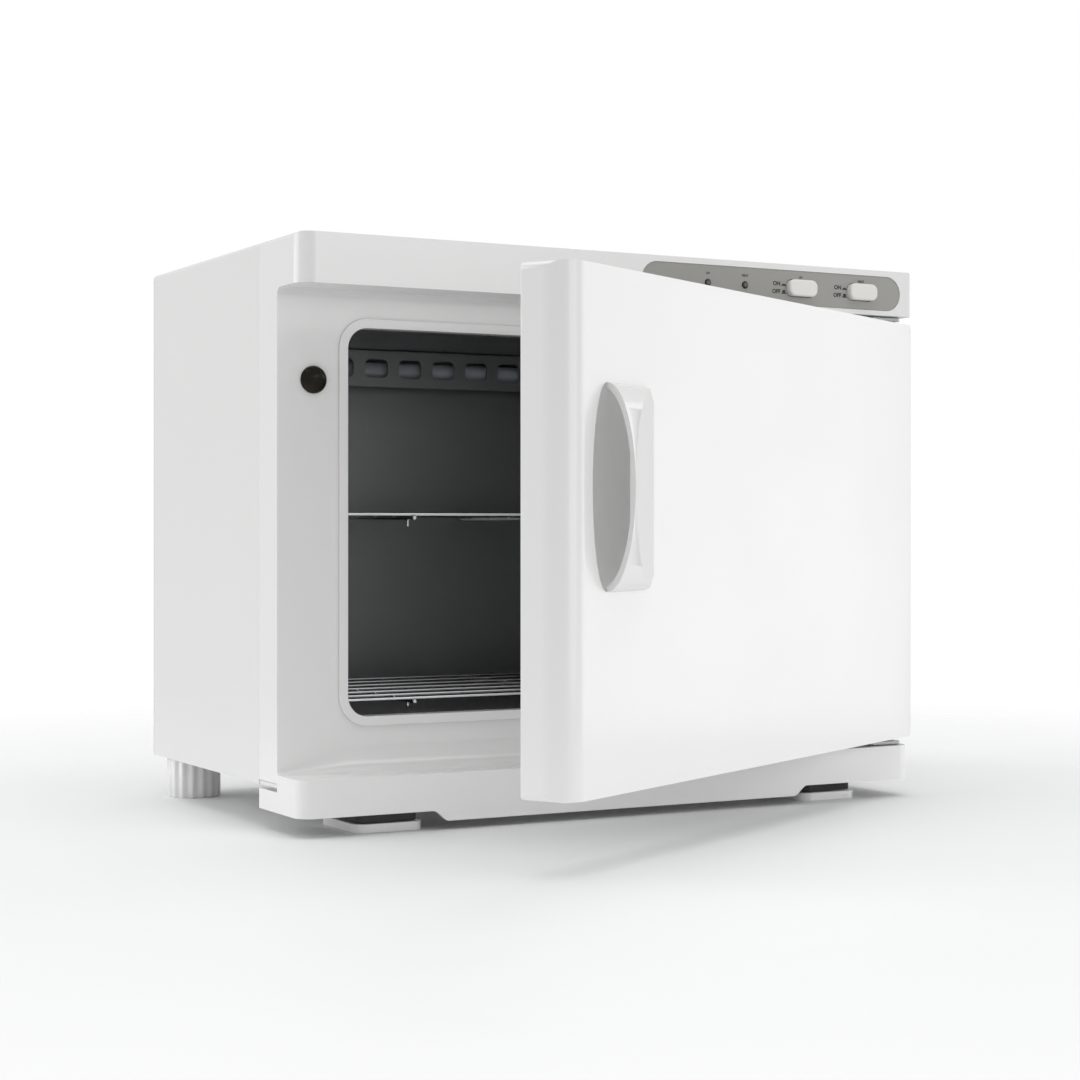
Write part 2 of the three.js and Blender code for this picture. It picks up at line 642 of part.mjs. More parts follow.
/** The moulded front: fascia, columns, recess face and skirt in one piece. */
function frontFrame() {
  const fascia = alongZ(frontPlan(FASCIA_LEFT_RADIUS, FASCIA_RIGHT_RADIUS), FASCIA_BOTTOM, HEIGHT);
  const columns = block([-HALF, HALF], [RECESS, FRAME_DEPTH], [COLUMN_BOTTOM, FASCIA_BOTTOM + GAP]);
  const skirtBlock = alongZ(frontPlan(SKIRT_RADIUS, SKIRT_RADIUS), 0, SKIRT_TOP);
  const skirt = skirtBlock.intersect(alongY(skirtOutline(), -REACH, FRAME_DEPTH + REACH));
  const coves = [
    cove(SKIRT_TOP, 1, FLOOR_COVE, -HALF, HALF - HINGE_COVE_LENGTH),
    cove(SKIRT_TOP, 1, HINGE_COVE, HALF - HINGE_COVE_LENGTH - GAP, HALF),
    cove(FASCIA_BOTTOM, -1, TOP_COVE, -HALF, HALF),
  ];
  const outside = joined([fascia, columns, skirt, ...coves]);

  const behindFace = block(
    [-FRAME_INNER, FRAME_INNER],
    [FACE_BACK, FRAME_DEPTH + REACH],
    [-REACH, HEIGHT - FRAME_WALL],
  );
  const fasciaHollow = alongZ(
    frontPlan(FASCIA_LEFT_RADIUS, FASCIA_RIGHT_RADIUS, FRAME_WALL),
    FASCIA_BOTTOM + FRAME_WALL,
    HEIGHT - FRAME_WALL,
  );
  const skirtHollow = alongZ(
    frontPlan(SKIRT_RADIUS, SKIRT_RADIUS, FRAME_WALL),
    -REACH,
    SKIRT_TOP - FRAME_WALL,
  );
  const sideSlot = block(
    [-HALF - REACH, HALF + REACH],
    [RECESS, FRAME_DEPTH + REACH],
    [RAIL_TOP, COLUMN_BOTTOM],
  );
  const trimHole = alongY(
    openingOutline(TRIM_SLEEVE_WALL + TRIM_CLEARANCE),
    RECESS - REACH,
    FACE_BACK + REACH,
  );
  const panelRecess = alongY(panelOutline(), -REACH, PANEL_RECESS, FINE);
  const magnetHole = rod(
    [CATCH_X, RECESS - REACH, CATCH_Z],
    [CATCH_X, FACE_BACK + REACH, CATCH_Z],
    CATCH_RADIUS / 2 + GAP,
    12,
  );
  return cut(outside, [
    behindFace,
    fasciaHollow,
    skirtHollow,
    sideSlot,
    trimHole,
    panelRecess,
    magnetHole,
    ...controlHoles(),
  ]);
}

/** Ring round the chamber opening: a flange on the recess face and a sleeve into the chamber. */
function openingTrim() {
  const end = TRIM_BACK + TRIM_SLEEVE_LENGTH;
  const flange = alongY(openingOutline(TRIM_FLANGE), TRIM_BACK - TRIM_THICKNESS, TRIM_BACK);
  const sleeve = alongY(openingOutline(TRIM_SLEEVE_WALL), TRIM_BACK - TRIM_THICKNESS / 2, end);
  return flange.add(sleeve).subtract(alongY(openingOutline(), TRIM_BACK - REACH, end + REACH));
}

/** Thin grey panel let into the fascia. */
function controlPanel() {
  const front = PANEL_RECESS - GAP - PANEL_THICKNESS;
  return cut(alongY(panelOutline(GAP), front, front + PANEL_THICKNESS, FINE), controlHoles());
}

// ---- Controls ----

/** Push button: a rounded cap and the stem that works the switch behind it. */
function pushButton(x) {
  const cap = alongY(buttonOutline(x), -BUTTON_PROUD, FRAME_WALL + BUTTON_TRAVEL, FINE);
  const stem = block(
    [x - STEM_WIDTH / 2, x + STEM_WIDTH / 2],
    [FRAME_WALL, STEM_END],
    [PANEL_Z - STEM_HEIGHT / 2, PANEL_Z + STEM_HEIGHT / 2],
  );
  return cap.add(stem);
}

/** Latching switch body with two terminal blades. */
function switchBody(x) {
  const back = SWITCH_FRONT + SWITCH_LENGTH;
  const body = block(
    [x - SWITCH_WIDTH / 2, x + SWITCH_WIDTH / 2],
    [SWITCH_FRONT, back],
    [PANEL_Z - SWITCH_HEIGHT / 2, PANEL_Z + SWITCH_HEIGHT / 2],
  );
  const blade = (side) => {
    const middle = x + (side * SWITCH_WIDTH) / 4;
    return block(
      [middle - BLADE_THICKNESS / 2, middle + BLADE_THICKNESS / 2],
      [back - GAP, back + BLADE_LENGTH],
      [PANEL_Z - BLADE_WIDTH / 2, PANEL_Z + BLADE_WIDTH / 2],
    );
  };
  return body.add(blade(-1)).add(blade(1));
}

/** Steel plate across the fascia's hollow that carries both switches. */
function switchBracket() {
  const front = SWITCH_FRONT - GAP - SHEET;
  const margin = SWITCH_WIDTH;
  const plate = block(
    [BUTTONS.uv - margin, BUTTONS.heat + margin],
    [front, front + SHEET],
    [FASCIA_BOTTOM + FRAME_WALL + GAP, HEIGHT - FRAME_WALL - GAP],
  );
  const slots = Object.values(BUTTONS).map((x) =>
    block(
      [x - STEM_WIDTH / 2 - BUTTON_CLEARANCE, x + STEM_WIDTH / 2 + BUTTON_CLEARANCE],
      [front - REACH, front + REACH],
      [PANEL_Z - STEM_HEIGHT / 2 - BUTTON_CLEARANCE, PANEL_Z + STEM_HEIGHT / 2 + BUTTON_CLEARANCE],
    ),
  );
  return cut(plate, slots);
}

/** Indicator lamp: a small domed lens with a collar behind the fascia wall. */
function indicator(x) {
  const collar = FRAME_WALL + GAP;
  const profile = [
    ...dome(INDICATOR_RADIUS, INDICATOR_PROUD, COARSE),
    [INDICATOR_RADIUS, collar],
    [INDICATOR_RADIUS + INDICATOR_COLLAR, collar],
    [INDICATOR_RADIUS + INDICATOR_COLLAR, collar + INDICATOR_COLLAR],
    [INDICATOR_RADIUS, collar + INDICATOR_COLLAR],
    [INDICATOR_RADIUS, collar + INDICATOR_TAIL],
    [0, collar + INDICATOR_TAIL],
  ];
  return turned(profile, [x, 0, PANEL_Z], [0, 1, 0], 16);
}

// ---- Chamber ----

/** Outline of the chamber, grown by a margin. */
function linerOutline(grow = 0) {
  return evenRectangle(
    [-LINER_HALF - grow, LINER_HALF + grow],
    [LINER_BOTTOM - grow, LINER_TOP + grow],
    LINER_RADIUS + grow,
  );
}

/** Aluminium chamber: a deep box open at the front, with a flange against the front frame. */
function chamberLiner() {
  const tube = alongY(linerOutline(SHEET), LINER_FRONT, LINER_BACK);
  const flange = alongY(linerOutline(LINER_FLANGE), LINER_FRONT, LINER_FRONT + SHEET);
  return tube.add(flange).subtract(alongY(linerOutline(), LINER_FRONT - REACH, LINER_BACK - SHEET));
}

/** Insulation over the chamber's top and sides. */
function insulationJacket() {
  const inner = SHEET + JACKET_CLEARANCE;
  const front = LINER_FRONT + SHEET + GAP;
  const open = block(
    [-LINER_HALF - inner, LINER_HALF + inner],
    [front - REACH, LINER_BACK + REACH],
    [0, LINER_BOTTOM + LINER_RADIUS],
  );
  const under = block(
    [-WIDTH, WIDTH],
    [front - REACH, LINER_BACK + REACH],
    [-REACH, LINER_BOTTOM - JACKET_THICKNESS],
  );
  return cut(alongY(linerOutline(inner + JACKET_THICKNESS), front, LINER_BACK), [
    alongY(linerOutline(inner), front - REACH, LINER_BACK + REACH),
    open,
    under,
  ]);
}

/** Angle ledge on a chamber side wall, under the ends of a rack's cross wires. */
function rackLedge(side, rackZ) {
  const wall = LINER_HALF - GAP;
  const top = rackZ - CROSS_WIRE_RADIUS - GAP;
  const shape = polygon([
    [side * wall, top - SHEET],
    [side * wall, top + LEDGE_HEIGHT],
    [side * (wall - SHEET), top + LEDGE_HEIGHT],
    [side * (wall - SHEET), top],
    [side * (wall - LEDGE_WIDTH), top],
    [side * (wall - LEDGE_WIDTH), top - SHEET],
  ]);
  return alongY(shape, RACK_FRONT, LINER_BACK - SHEET - GAP);
}

/** Wire rack: cross wires welded on three bearers with rounded front tips and short stop legs. */
function wireRack(z) {
  const back = LINER_BACK - SHEET - RACK_BACK_CLEARANCE;
  const bearerZ = z - CROSS_WIRE_RADIUS - BEARER_RADIUS + WELD_DEPTH;
  const wires = [];
  for (let y = RACK_FRONT; y < back; y += CROSS_WIRE_PITCH) {
    wires.push(rod([-RACK_HALF, y, z], [RACK_HALF, y, z], CROSS_WIRE_RADIUS, 8));
  }
  const front = RACK_FRONT - BEARER_OVERHANG;
  for (const x of [-BEARER_PITCH, 0, BEARER_PITCH]) {
    const tip = new THREE.SphereGeometry(BEARER_TIP_RADIUS, 8, 6).translate(x, front, bearerZ);
    const legY = front + STOP_LEG_SET_BACK;
    wires.push(rod([x, front, bearerZ], [x, back, bearerZ], BEARER_RADIUS, 8));
    wires.push(solid(tip));
    wires.push(rod([x, legY, bearerZ], [x, legY, bearerZ - STOP_LEG_LENGTH], CROSS_WIRE_RADIUS, 6));
  }
  return joined(wires);
}

/** Flat heating plate under the chamber floor. */
function heaterPlate() {
  const top = LINER_BOTTOM - SHEET - GAP;
  const half = OPENING_HALF - HEATER_MARGIN;
  const depths = [LINER_FRONT + HEATER_MARGIN, LINER_BACK - HEATER_MARGIN];
  const outline = evenRectangle([-half, half], depths, HEATER_RADIUS);
  return alongZ(outline, top - HEATER_THICKNESS, top);
}

const HEATER_BOTTOM = LINER_BOTTOM - SHEET - GAP - HEATER_THICKNESS;
const HEATER_MIDDLE = (LINER_FRONT + LINER_BACK) / 2;

/** Disc thermostat clipped under the heating plate. */
function thermostat() {
  const top = HEATER_BOTTOM - GAP;
  const profile = [
    [0, 0],
    [THERMOSTAT_RADIUS, 0],
    [THERMOSTAT_RADIUS, THERMOSTAT_HEIGHT / 2],
    [THERMOSTAT_CUP_RADIUS, THERMOSTAT_HEIGHT / 2],
    [THERMOSTAT_CUP_RADIUS, THERMOSTAT_HEIGHT],
    [0, THERMOSTAT_HEIGHT],
  ];
  return turned(profile, [-HEATER_MARGIN, HEATER_MIDDLE, top], [0, 0, -1], 16);
}

/** One-shot thermal fuse in its clip beside the thermostat. */
function thermalFuse() {
  const top = HEATER_BOTTOM - GAP;
  return block(
    [HEATER_MARGIN, HEATER_MARGIN + FUSE_LENGTH],
    [HEATER_MIDDLE - FUSE_WIDTH / 2, HEATER_MIDDLE + FUSE_WIDTH / 2],
    [top - FUSE_HEIGHT, top],
  );
}

/** Insulation board lying in the base pan. */
function baseInsulation() {
  const bottom = CASE_BOTTOM + 2 * SHEET + 2 * GAP;
  const outline = evenRectangle(
    [-OPENING_HALF, OPENING_HALF],
    [LINER_FRONT + JACKET_THICKNESS, LINER_BACK - JACKET_THICKNESS],
    OPENING_RADIUS,
  );
  return alongZ(outline, bottom, bottom + JACKET_THICKNESS);
}

const LAMP_Y = LINER_BACK - SHEET - LAMP_FROM_BACK;
const LAMP_Z = LINER_TOP - LAMP_DROP;

/** Ultraviolet tube with a metal cap at each end. */
function uvLamp() {
  const half = LAMP_LENGTH / 2;
  const glass = LAMP_RADIUS - LAMP_CAP_STEP;
  const profile = [
    [0, -half],
    [LAMP_RADIUS, -half],
    [LAMP_RADIUS, -half + LAMP_CAP_LENGTH],
    [glass, -half + LAMP_CAP_LENGTH],
    [glass, half - LAMP_CAP_LENGTH],
    [LAMP_RADIUS, half - LAMP_CAP_LENGTH],
    [LAMP_RADIUS, half],
    [0, half],
  ];
  return turned(profile, [0, LAMP_Y, LAMP_Z], [1, 0, 0], 16);
}

/** Socket block at one end of the lamp. */
function lampHolder(side) {
  const inner = LAMP_LENGTH / 2 - HOLDER_SOCKET;
  const xs = [side * inner, side * (inner + HOLDER_LENGTH)].sort((a, b) => a - b);
  const half = HOLDER_WIDTH / 2;
  const body = block(xs, [LAMP_Y - half, LINER_BACK - SHEET - GAP], [LAMP_Z - half, LAMP_Z + half]);
  const end = side * (LAMP_LENGTH / 2 + GAP);
  const socket = rod([0, LAMP_Y, LAMP_Z], [end, LAMP_Y, LAMP_Z], LAMP_RADIUS + GAP, 16);
  return body.subtract(socket);
}

/** Slotted guard that hangs from the chamber roof in front of the lamp. */
function lampGuard() {
  const half = LAMP_LENGTH / 2 + HOLDER_LENGTH;
  const front = LAMP_Y - HOLDER_WIDTH / 2 - SHEET - GUARD_CLEARANCE;
  const top = LINER_TOP - GAP;
  const bottom = top - GUARD_HEIGHT;
  const angle = polygon([
    [front, bottom],
    [front + SHEET, bottom],
    [front + SHEET, top - SHEET],
    [front + GUARD_LIP, top - SHEET],
    [front + GUARD_LIP, top],
    [front, top],
  ]);
  const pitch = (2 * half) / GUARD_SLOTS;
  const slots = Array.from({ length: GUARD_SLOTS }, (_, i) => {
    const x = -half + (i + 0.5) * pitch;
    return block(
      [x - pitch / 3, x + pitch / 3],
      [front - REACH, front + SHEET + GAP],
      [bottom + GUARD_HEIGHT / 4, top - GUARD_HEIGHT / 4],
    );
  });
  return cut(alongX(angle, -half, half), slots);
}

// ---- Wiring compartment ----

const PAN_FLOOR = CASE_BOTTOM + 2 * SHEET + 2 * GAP;
const BAY_INNER = LINER_HALF + SHEET + JACKET_CLEARANCE + JACKET_THICKNESS; // outer face of the jacket
const BAY_OUTER = FRAME_INNER - 2 * GAP - SHEET; // inner face of the pan's edge
const SIDE_BAY_X = (BAY_INNER + BAY_OUTER) / 2;
const SIDE_BAY_HALF = (BAY_OUTER - BAY_INNER) / 2 - BAY_CLEARANCE;

/** Choke ballast with its two mounting ears. */
function ballast() {
  const back = LINER_BACK - BALLAST_FROM_BACK;
  const front = back - BALLAST_LENGTH;
  const earHalf = SIDE_BAY_HALF - BALLAST_EAR_THICKNESS;
  const core = block(
    [SIDE_BAY_X - SIDE_BAY_HALF, SIDE_BAY_X + SIDE_BAY_HALF],
    [front, back],
    [PAN_FLOOR, PAN_FLOOR + BALLAST_HEIGHT],
  );
  const ears = block(
    [SIDE_BAY_X - earHalf, SIDE_BAY_X + earHalf],
    [front - BALLAST_EAR, back + BALLAST_EAR],
    [PAN_FLOOR, PAN_FLOOR + BALLAST_EAR_THICKNESS],
  );
  return core.add(ears);
}

/** Glow starter standing in its socket. */
function starter() {
  const can = SIDE_BAY_HALF - STARTER_SOCKET_STEP;
  const profile = [
    [0, 0],
    [SIDE_BAY_HALF, 0],
    [SIDE_BAY_HALF, STARTER_SOCKET_HEIGHT],
    [can, STARTER_SOCKET_HEIGHT],
    [can, STARTER_HEIGHT - STARTER_SOCKET_STEP],
    [can - STARTER_SOCKET_STEP, STARTER_HEIGHT],
    [0, STARTER_HEIGHT],
  ];
  return turned(profile, [SIDE_BAY_X, LINER_BACK - STARTER_FROM_BACK, PAN_FLOOR], [0, 0, 1], 16);
}

/** Screw terminal block for the mains wires. */
function terminalBlock() {
  const back = LINER_BACK - TERMINAL_FROM_BACK;
  const top = PAN_FLOOR + TERMINAL_HEIGHT;
  const body = block(
    [-SIDE_BAY_X - SIDE_BAY_HALF, -SIDE_BAY_X + SIDE_BAY_HALF],
    [back - TERMINALS * TERMINAL_PITCH, back],
    [PAN_FLOOR, top],
  );
  const wells = Array.from({ length: TERMINALS }, (_, i) => {
    const y = back - (i + 0.5) * TERMINAL_PITCH;
    const from = [-SIDE_BAY_X, y, top - TERMINAL_WELL_DEPTH];
    return rod(from, [-SIDE_BAY_X, y, top + REACH], TERMINAL_WELL_RADIUS, 10);
  });
  return cut(body, wells);
}

/** Cord gland in the back panel, open right through. */
function cordGland() {
  const x = HALF - GLAND_FROM_SIDE;
  const profile = [
    [GLAND_BORE_RADIUS, -GLAND_LENGTH],
    [GLAND_RADIUS, -GLAND_LENGTH],
    [GLAND_RADIUS, GAP],
    [GLAND_FLANGE_RADIUS, GAP],
    [GLAND_FLANGE_RADIUS, GAP + GLAND_FLANGE_THICKNESS],
    [GLAND_RADIUS, GLAND_LENGTH],
    [GLAND_BORE_RADIUS, GLAND_LENGTH],
    [GLAND_BORE_RADIUS, -GLAND_LENGTH],
  ];
  return turned(profile, [x, DEPTH, GLAND_HEIGHT], [0, 1, 0], 20);
}

/** Pan-head screw: its axis runs from the head's underside into the work. */
function screw(at, dir) {
  const profile = [
    [0, -SCREW_HEAD_HEIGHT],
    [SCREW_HEAD_TOP_RADIUS, -SCREW_HEAD_HEIGHT],
    [SCREW_HEAD_RADIUS, -SCREW_HEAD_HEIGHT / 2],
    [SCREW_HEAD_RADIUS, 0],
    [SCREW_RADIUS, 0],
    [SCREW_RADIUS, SCREW_LENGTH],
    [0, SCREW_LENGTH],
  ];
  return turned(profile, at, dir, 12);
}

// ---- Door, modelled shut ----

/** Front view of the door, inset all round. */
function doorFace(inset = 0) {
  const radius = Math.max(DOOR_FACE_RADIUS - inset, 0.5);
  return evenRectangle([-HALF + inset, HALF - inset], [DOOR_BOTTOM + inset, DOOR_TOP - inset], radius);
}

/** Plan of the door, inset at the front and the ends. */
function doorPlan(inset, back) {
  return roundedRectangle(
    [-HALF + inset, HALF - inset],
    [inset, back],
    [
      DOOR_FREE_RADIUS - inset,
      Math.max(DOOR_HINGE_RADIUS - inset, 0),
      inset > 0 ? 0 : DOOR_BACK_RADIUS,
      inset > 0 ? 0 : DOOR_EDGE_RADIUS,
    ],
  );
}

/** Front view of the finger pocket: a shallow curve on the open side, a deeper one under the hood. */
function pocketOutline(grow = 0) {
  const shape = new THREE.Shape();
  const half = HANDLE_HALF_HEIGHT + grow;
  shape.absellipse(HANDLE_X, HANDLE_Z, POCKET_BULGE + grow, half, Math.PI / 2, (3 * Math.PI) / 2, false);
  shape.absellipse(HANDLE_X, HANDLE_Z, POCKET_UNDERCUT + grow, half, -Math.PI / 2, Math.PI / 2, false);
  shape.closePath();
  return shape;
}

/** Outer door skin with the pocket and the two hinge bosses, open at the back. */
function doorShell() {
  const outside = alongZ(doorPlan(0, DOOR_THICKNESS), DOOR_BOTTOM, DOOR_TOP, FINE).intersect(
    alongY(doorFace(), -REACH, DOOR_THICKNESS + REACH),
  );
  const hollow = alongZ(doorPlan(DOOR_WALL, DOOR_THICKNESS + REACH), DOOR_BOTTOM, DOOR_TOP, FINE).intersect(
    alongY(doorFace(DOOR_WALL), -REACH, DOOR_THICKNESS + 2 * REACH),
  );
  const bossXs = [HINGE_X - BOSS_HALF, HALF - BOSS_INSET];
  const bossYs = [HINGE_Y - BOSS_HALF, DOOR_PANEL_FRONT - GAP];
  const bossLength = BUSH_LENGTH + BOSS_WALL;
  const pocketCup = alongY(pocketOutline(POCKET_WALL), GAP, POCKET_DEPTH + POCKET_WALL);
  const hingeHole = (z0, z1) =>
    rod([HINGE_X, HINGE_Y, z0], [HINGE_X, HINGE_Y, z1], BUSH_RADIUS + GAP, 16);
  const skin = joined([
    outside.subtract(hollow),
    pocketCup,
    block(bossXs, bossYs, [DOOR_BOTTOM + BOSS_INSET, DOOR_BOTTOM + bossLength]),
    block(bossXs, bossYs, [DOOR_TOP - bossLength, DOOR_TOP - BOSS_INSET]),
  ]);
  return cut(skin, [
    alongY(pocketOutline(), -REACH, POCKET_DEPTH),
    hingeHole(DOOR_BOTTOM - REACH, DOOR_BOTTOM + bossLength + REACH),
    hingeHole(DOOR_TOP - bossLength - REACH, DOOR_TOP + REACH),
  ]);
}

/** Inner door panel with a raised middle, set into the back of the skin. */
function doorPanel() {
  const inset = DOOR_WALL + GAP;
  const plate = alongY(doorFace(inset), DOOR_PANEL_FRONT, DOOR_PANEL_BACK);
  const raised = alongY(openingOutline(-DOOR_PANEL_INSET), DOOR_PANEL_FRONT, DOOR_PLATEAU);
  const hollow = alongY(
    openingOutline(-DOOR_PANEL_INSET - DOOR_PANEL_THICKNESS),
    DOOR_PANEL_FRONT - REACH,
    DOOR_PLATEAU - DOOR_PANEL_THICKNESS,
  );
  const strikeHole = rod(
    [CATCH_X, DOOR_PANEL_FRONT - REACH, CATCH_Z],
    [CATCH_X, DOOR_THICKNESS + REACH, CATCH_Z],
    STRIKE_RADIUS + GAP,
    16,
  );
  return cut(plate.add(raised), [hollow, strikeHole]);
}

/** Foam slab between the door's skin and its inner panel. */
function doorInsulation() {
  const front = POCKET_DEPTH + POCKET_WALL + GAP;
  const inset = DOOR_WALL + FOAM_CLEARANCE;
  return block(
    [-HALF + inset, HINGE_X - BOSS_HALF - FOAM_CLEARANCE],
    [front, DOOR_PANEL_FRONT - GAP],
    [DOOR_BOTTOM + inset, DOOR_TOP - inset],
  );
}

/** Soft seal on the inner panel that closes on the recess face, outside the trim ring. */
function doorGasket() {
  const front = DOOR_PANEL_BACK + GAP;
  const back = RECESS - GAP;
  return alongY(openingOutline(GASKET_INNER + GASKET_WIDTH), front, back).subtract(
    alongY(openingOutline(GASKET_INNER), front - REACH, back + REACH),
  );
}

/** Hooded grip over the pocket: an arched open edge that slopes back to the door's face. */
function doorHandle() {
  const hood = (inset) => {
    const base = inset - GAP;
    const start = HANDLE_X - inset;
    const end = HANDLE_X + HANDLE_REACH - 2 * inset;
    const half = HANDLE_HALF_HEIGHT - inset;
    const arch = new THREE.Shape();
    arch.absellipse(base, HANDLE_Z, HANDLE_RISE, half, Math.PI / 2, (3 * Math.PI) / 2, false);
    arch.closePath();
    const slope = polygon([
      [start, base],
      [start, base - HANDLE_RISE],
      [end, base],
    ]);
    return alongX(arch, start, end, FINE).intersect(alongZ(slope, HANDLE_Z - 2 * half, HANDLE_Z + 2 * half));
  };
  const footprint = polygon([
    [HANDLE_X, HANDLE_Z - HANDLE_HALF_HEIGHT],
    [HANDLE_X + HANDLE_REACH - HANDLE_CHAMFER_X, HANDLE_Z - HANDLE_HALF_HEIGHT],
    [HANDLE_X + HANDLE_REACH, HANDLE_Z - HANDLE_HALF_HEIGHT + HANDLE_CHAMFER_Z],
    [HANDLE_X + HANDLE_REACH, HANDLE_Z + HANDLE_HALF_HEIGHT - HANDLE_CHAMFER_Z],
    [HANDLE_X + HANDLE_REACH - HANDLE_CHAMFER_X, HANDLE_Z + HANDLE_HALF_HEIGHT],
    [HANDLE_X, HANDLE_Z + HANDLE_HALF_HEIGHT],
  ]);
  return hood(0).intersect(alongY(footprint, -2 * HANDLE_RISE, 0)).subtract(hood(HANDLE_WALL));
}

/** Steel disc in the inner panel that the magnet holds. */
function strikePlate() {
  const front = STRIKE_BACK - STRIKE_THICKNESS;
  return rod([CATCH_X, front, CATCH_Z], [CATCH_X, STRIKE_BACK, CATCH_Z], STRIKE_RADIUS, 20);
}

/** Domed magnetic catch in the recess face. */
function magnetCatch() {
  const stud = CATCH_RADIUS / 2;
  const profile = [
    ...dome(CATCH_RADIUS, CATCH_PROUD - GAP, FINE + 1, -GAP),
    [stud, -GAP],
    [stud, FRAME_WALL + CATCH_STUD_END],
    [0, FRAME_WALL + CATCH_STUD_END],
  ];
  return turned(profile, [CATCH_X, RECESS, CATCH_Z], [0, 1, 0]);
}

/** Hinge plate that holds a pin, under the fascia or on the recess floor. */
function hingeBracket(z0) {
  const outline = evenRectangle(
    [HINGE_X - BRACKET_INWARD, HALF - BRACKET_FROM_SIDE],
    [HINGE_Y - BRACKET_FORWARD, RECESS - Math.max(TOP_COVE, HINGE_COVE)],
    BRACKET_RADIUS,
  );
  const hole = rod(
    [HINGE_X, HINGE_Y, z0 - REACH],
    [HINGE_X, HINGE_Y, z0 + REACH],
    HINGE_PIN_RADIUS + GAP,
    16,
  );
  return alongZ(outline, z0, z0 + BRACKET_THICKNESS).subtract(hole);
}

/** Flanged bush in a door boss: the flange lies at height z and the barrel runs towards dir. */
function hingeBush(z, dir) {
  const profile = [
    [BUSH_BORE, -BUSH_FLANGE],
    [BUSH_RADIUS + BUSH_FLANGE_WIDTH, -BUSH_FLANGE],
    [BUSH_RADIUS + BUSH_FLANGE_WIDTH, 0],
    [BUSH_RADIUS, 0],
    [BUSH_RADIUS, BUSH_LENGTH],
    [BUSH_BORE, BUSH_LENGTH],
    [BUSH_BORE, -BUSH_FLANGE],
  ];
  return turned(profile, [HINGE_X, HINGE_Y, z], [0, 0, dir], 16);
}

// ---- Feet ----

/** Plan of a front foot, inset all round, with its front corners rounded. */
function frontFootPlan(side, inset = 0) {
  const near = HALF - FRONT_FOOT_FROM_SIDE - inset;
  const far = HALF - FRONT_FOOT_FROM_SIDE - FRONT_FOOT_WIDTH + inset;
  const xs = [side * near, side * far].sort((a, b) => a - b);
  const ys = [FRONT_FOOT_SET_BACK + inset, FRONT_FOOT_SET_BACK + FRONT_FOOT_LENGTH - inset];
  const radius = FRONT_FOOT_RADIUS - inset;
  return roundedRectangle(xs, ys, [radius, radius, FRONT_FOOT_BACK_RADIUS, FRONT_FOOT_BACK_RADIUS]);
}

/** White shoe of a front foot. */
function frontFoot(side) {
  return alongZ(frontFootPlan(side), 0, FRONT_FOOT_HEIGHT);
}

/** Rubber block between a front shoe and the base pan. */
function frontFootPad(side) {
  return alongZ(frontFootPlan(side, FOOT_PAD_INSET), FRONT_FOOT_HEIGHT + GAP, CASE_BOTTOM + SHEET);
}

/** Fluted rear foot. */
function rearFoot(side) {
  const x = side * (HALF - REAR_FOOT_FROM_SIDE);
  const y = DEPTH - REAR_FOOT_FROM_BACK;
  const steps = REAR_FOOT_FLUTES * FLUTE_SIDES;
  const points = Array.from({ length: steps }, (_, i) => {
    const angle = (i / steps) * 2 * Math.PI;
    const radius = REAR_FOOT_RADIUS - (REAR_FOOT_FLUTE_DEPTH / 2) * (1 - Math.cos(angle * REAR_FOOT_FLUTES));
    return [x + radius * Math.cos(angle), y + radius * Math.sin(angle)];
  });
  return alongZ(polygon(points), 0, CASE_BOTTOM - GAP);
}

// ---- Assembly ----

const cabinet = new THREE.Group();
cabinet.name = "hot_towel_cabinet";

place(cabinet, "outer_case", outerCase(), "enamelWhite");
place(cabinet, "back_panel", backPanel(), "enamelWhite");
place(cabinet, "base_pan", basePan(), "enamelWhite");
place(cabinet, "front_frame", frontFrame(), "glossWhite");
place(cabinet, "opening_trim", openingTrim(), "glossWhite");
place(cabinet, "control_panel", controlPanel(), "greyOverlay");

for (const control of ["uv", "heat"]) {
  place(cabinet, `${control}_button`, pushButton(BUTTONS[control]), "buttonWhite");
  place(cabinet, `${control}_switch`, switchBody(BUTTONS[control]), "blackPlastic");
  place(cabinet, `${control}_indicator`, indicator(INDICATORS[control]), "darkLens");
}
place(cabinet, "switch_bracket", switchBracket(), "zincSteel");

place(cabinet, "chamber_liner", chamberLiner(), "aluminium");
place(cabinet, "insulation_jacket", insulationJacket(), "woolFelt");
place(cabinet, "base_insulation", baseInsulation(), "woolFelt");
for (const [level, z] of [["lower", LOWER_RACK], ["upper", UPPER_RACK]]) {
  place(cabinet, `rack_${level}`, wireRack(z), "chromeWire");
  place(cabinet, `rack_ledge_${level}_left`, rackLedge(-1, z), "aluminium");
  place(cabinet, `rack_ledge_${level}_right`, rackLedge(1, z), "aluminium");
}
place(cabinet, "heater_plate", heaterPlate(), "zincSteel");
place(cabinet, "thermostat", thermostat(), "blackPlastic");
place(cabinet, "thermal_fuse", thermalFuse(), "nylon");
place(cabinet, "uv_lamp", uvLamp(), "lampGlass");
place(cabinet, "lamp_holder_left", lampHolder(-1), "nylon");
place(cabinet, "lamp_holder_right", lampHolder(1), "nylon");
place(cabinet, "lamp_guard", lampGuard(), "aluminium");

place(cabinet, "ballast", ballast(), "zincSteel");
place(cabinet, "starter", starter(), "nylon");
place(cabinet, "terminal_block", terminalBlock(), "nylon");
place(cabinet, "cord_gland", cordGland(), "blackPlastic");
for (const [name, x, z] of backScrews()) {
  place(cabinet, name, screw([x, DEPTH + GAP, z], [0, -1, 0]), "zincSteel");
}

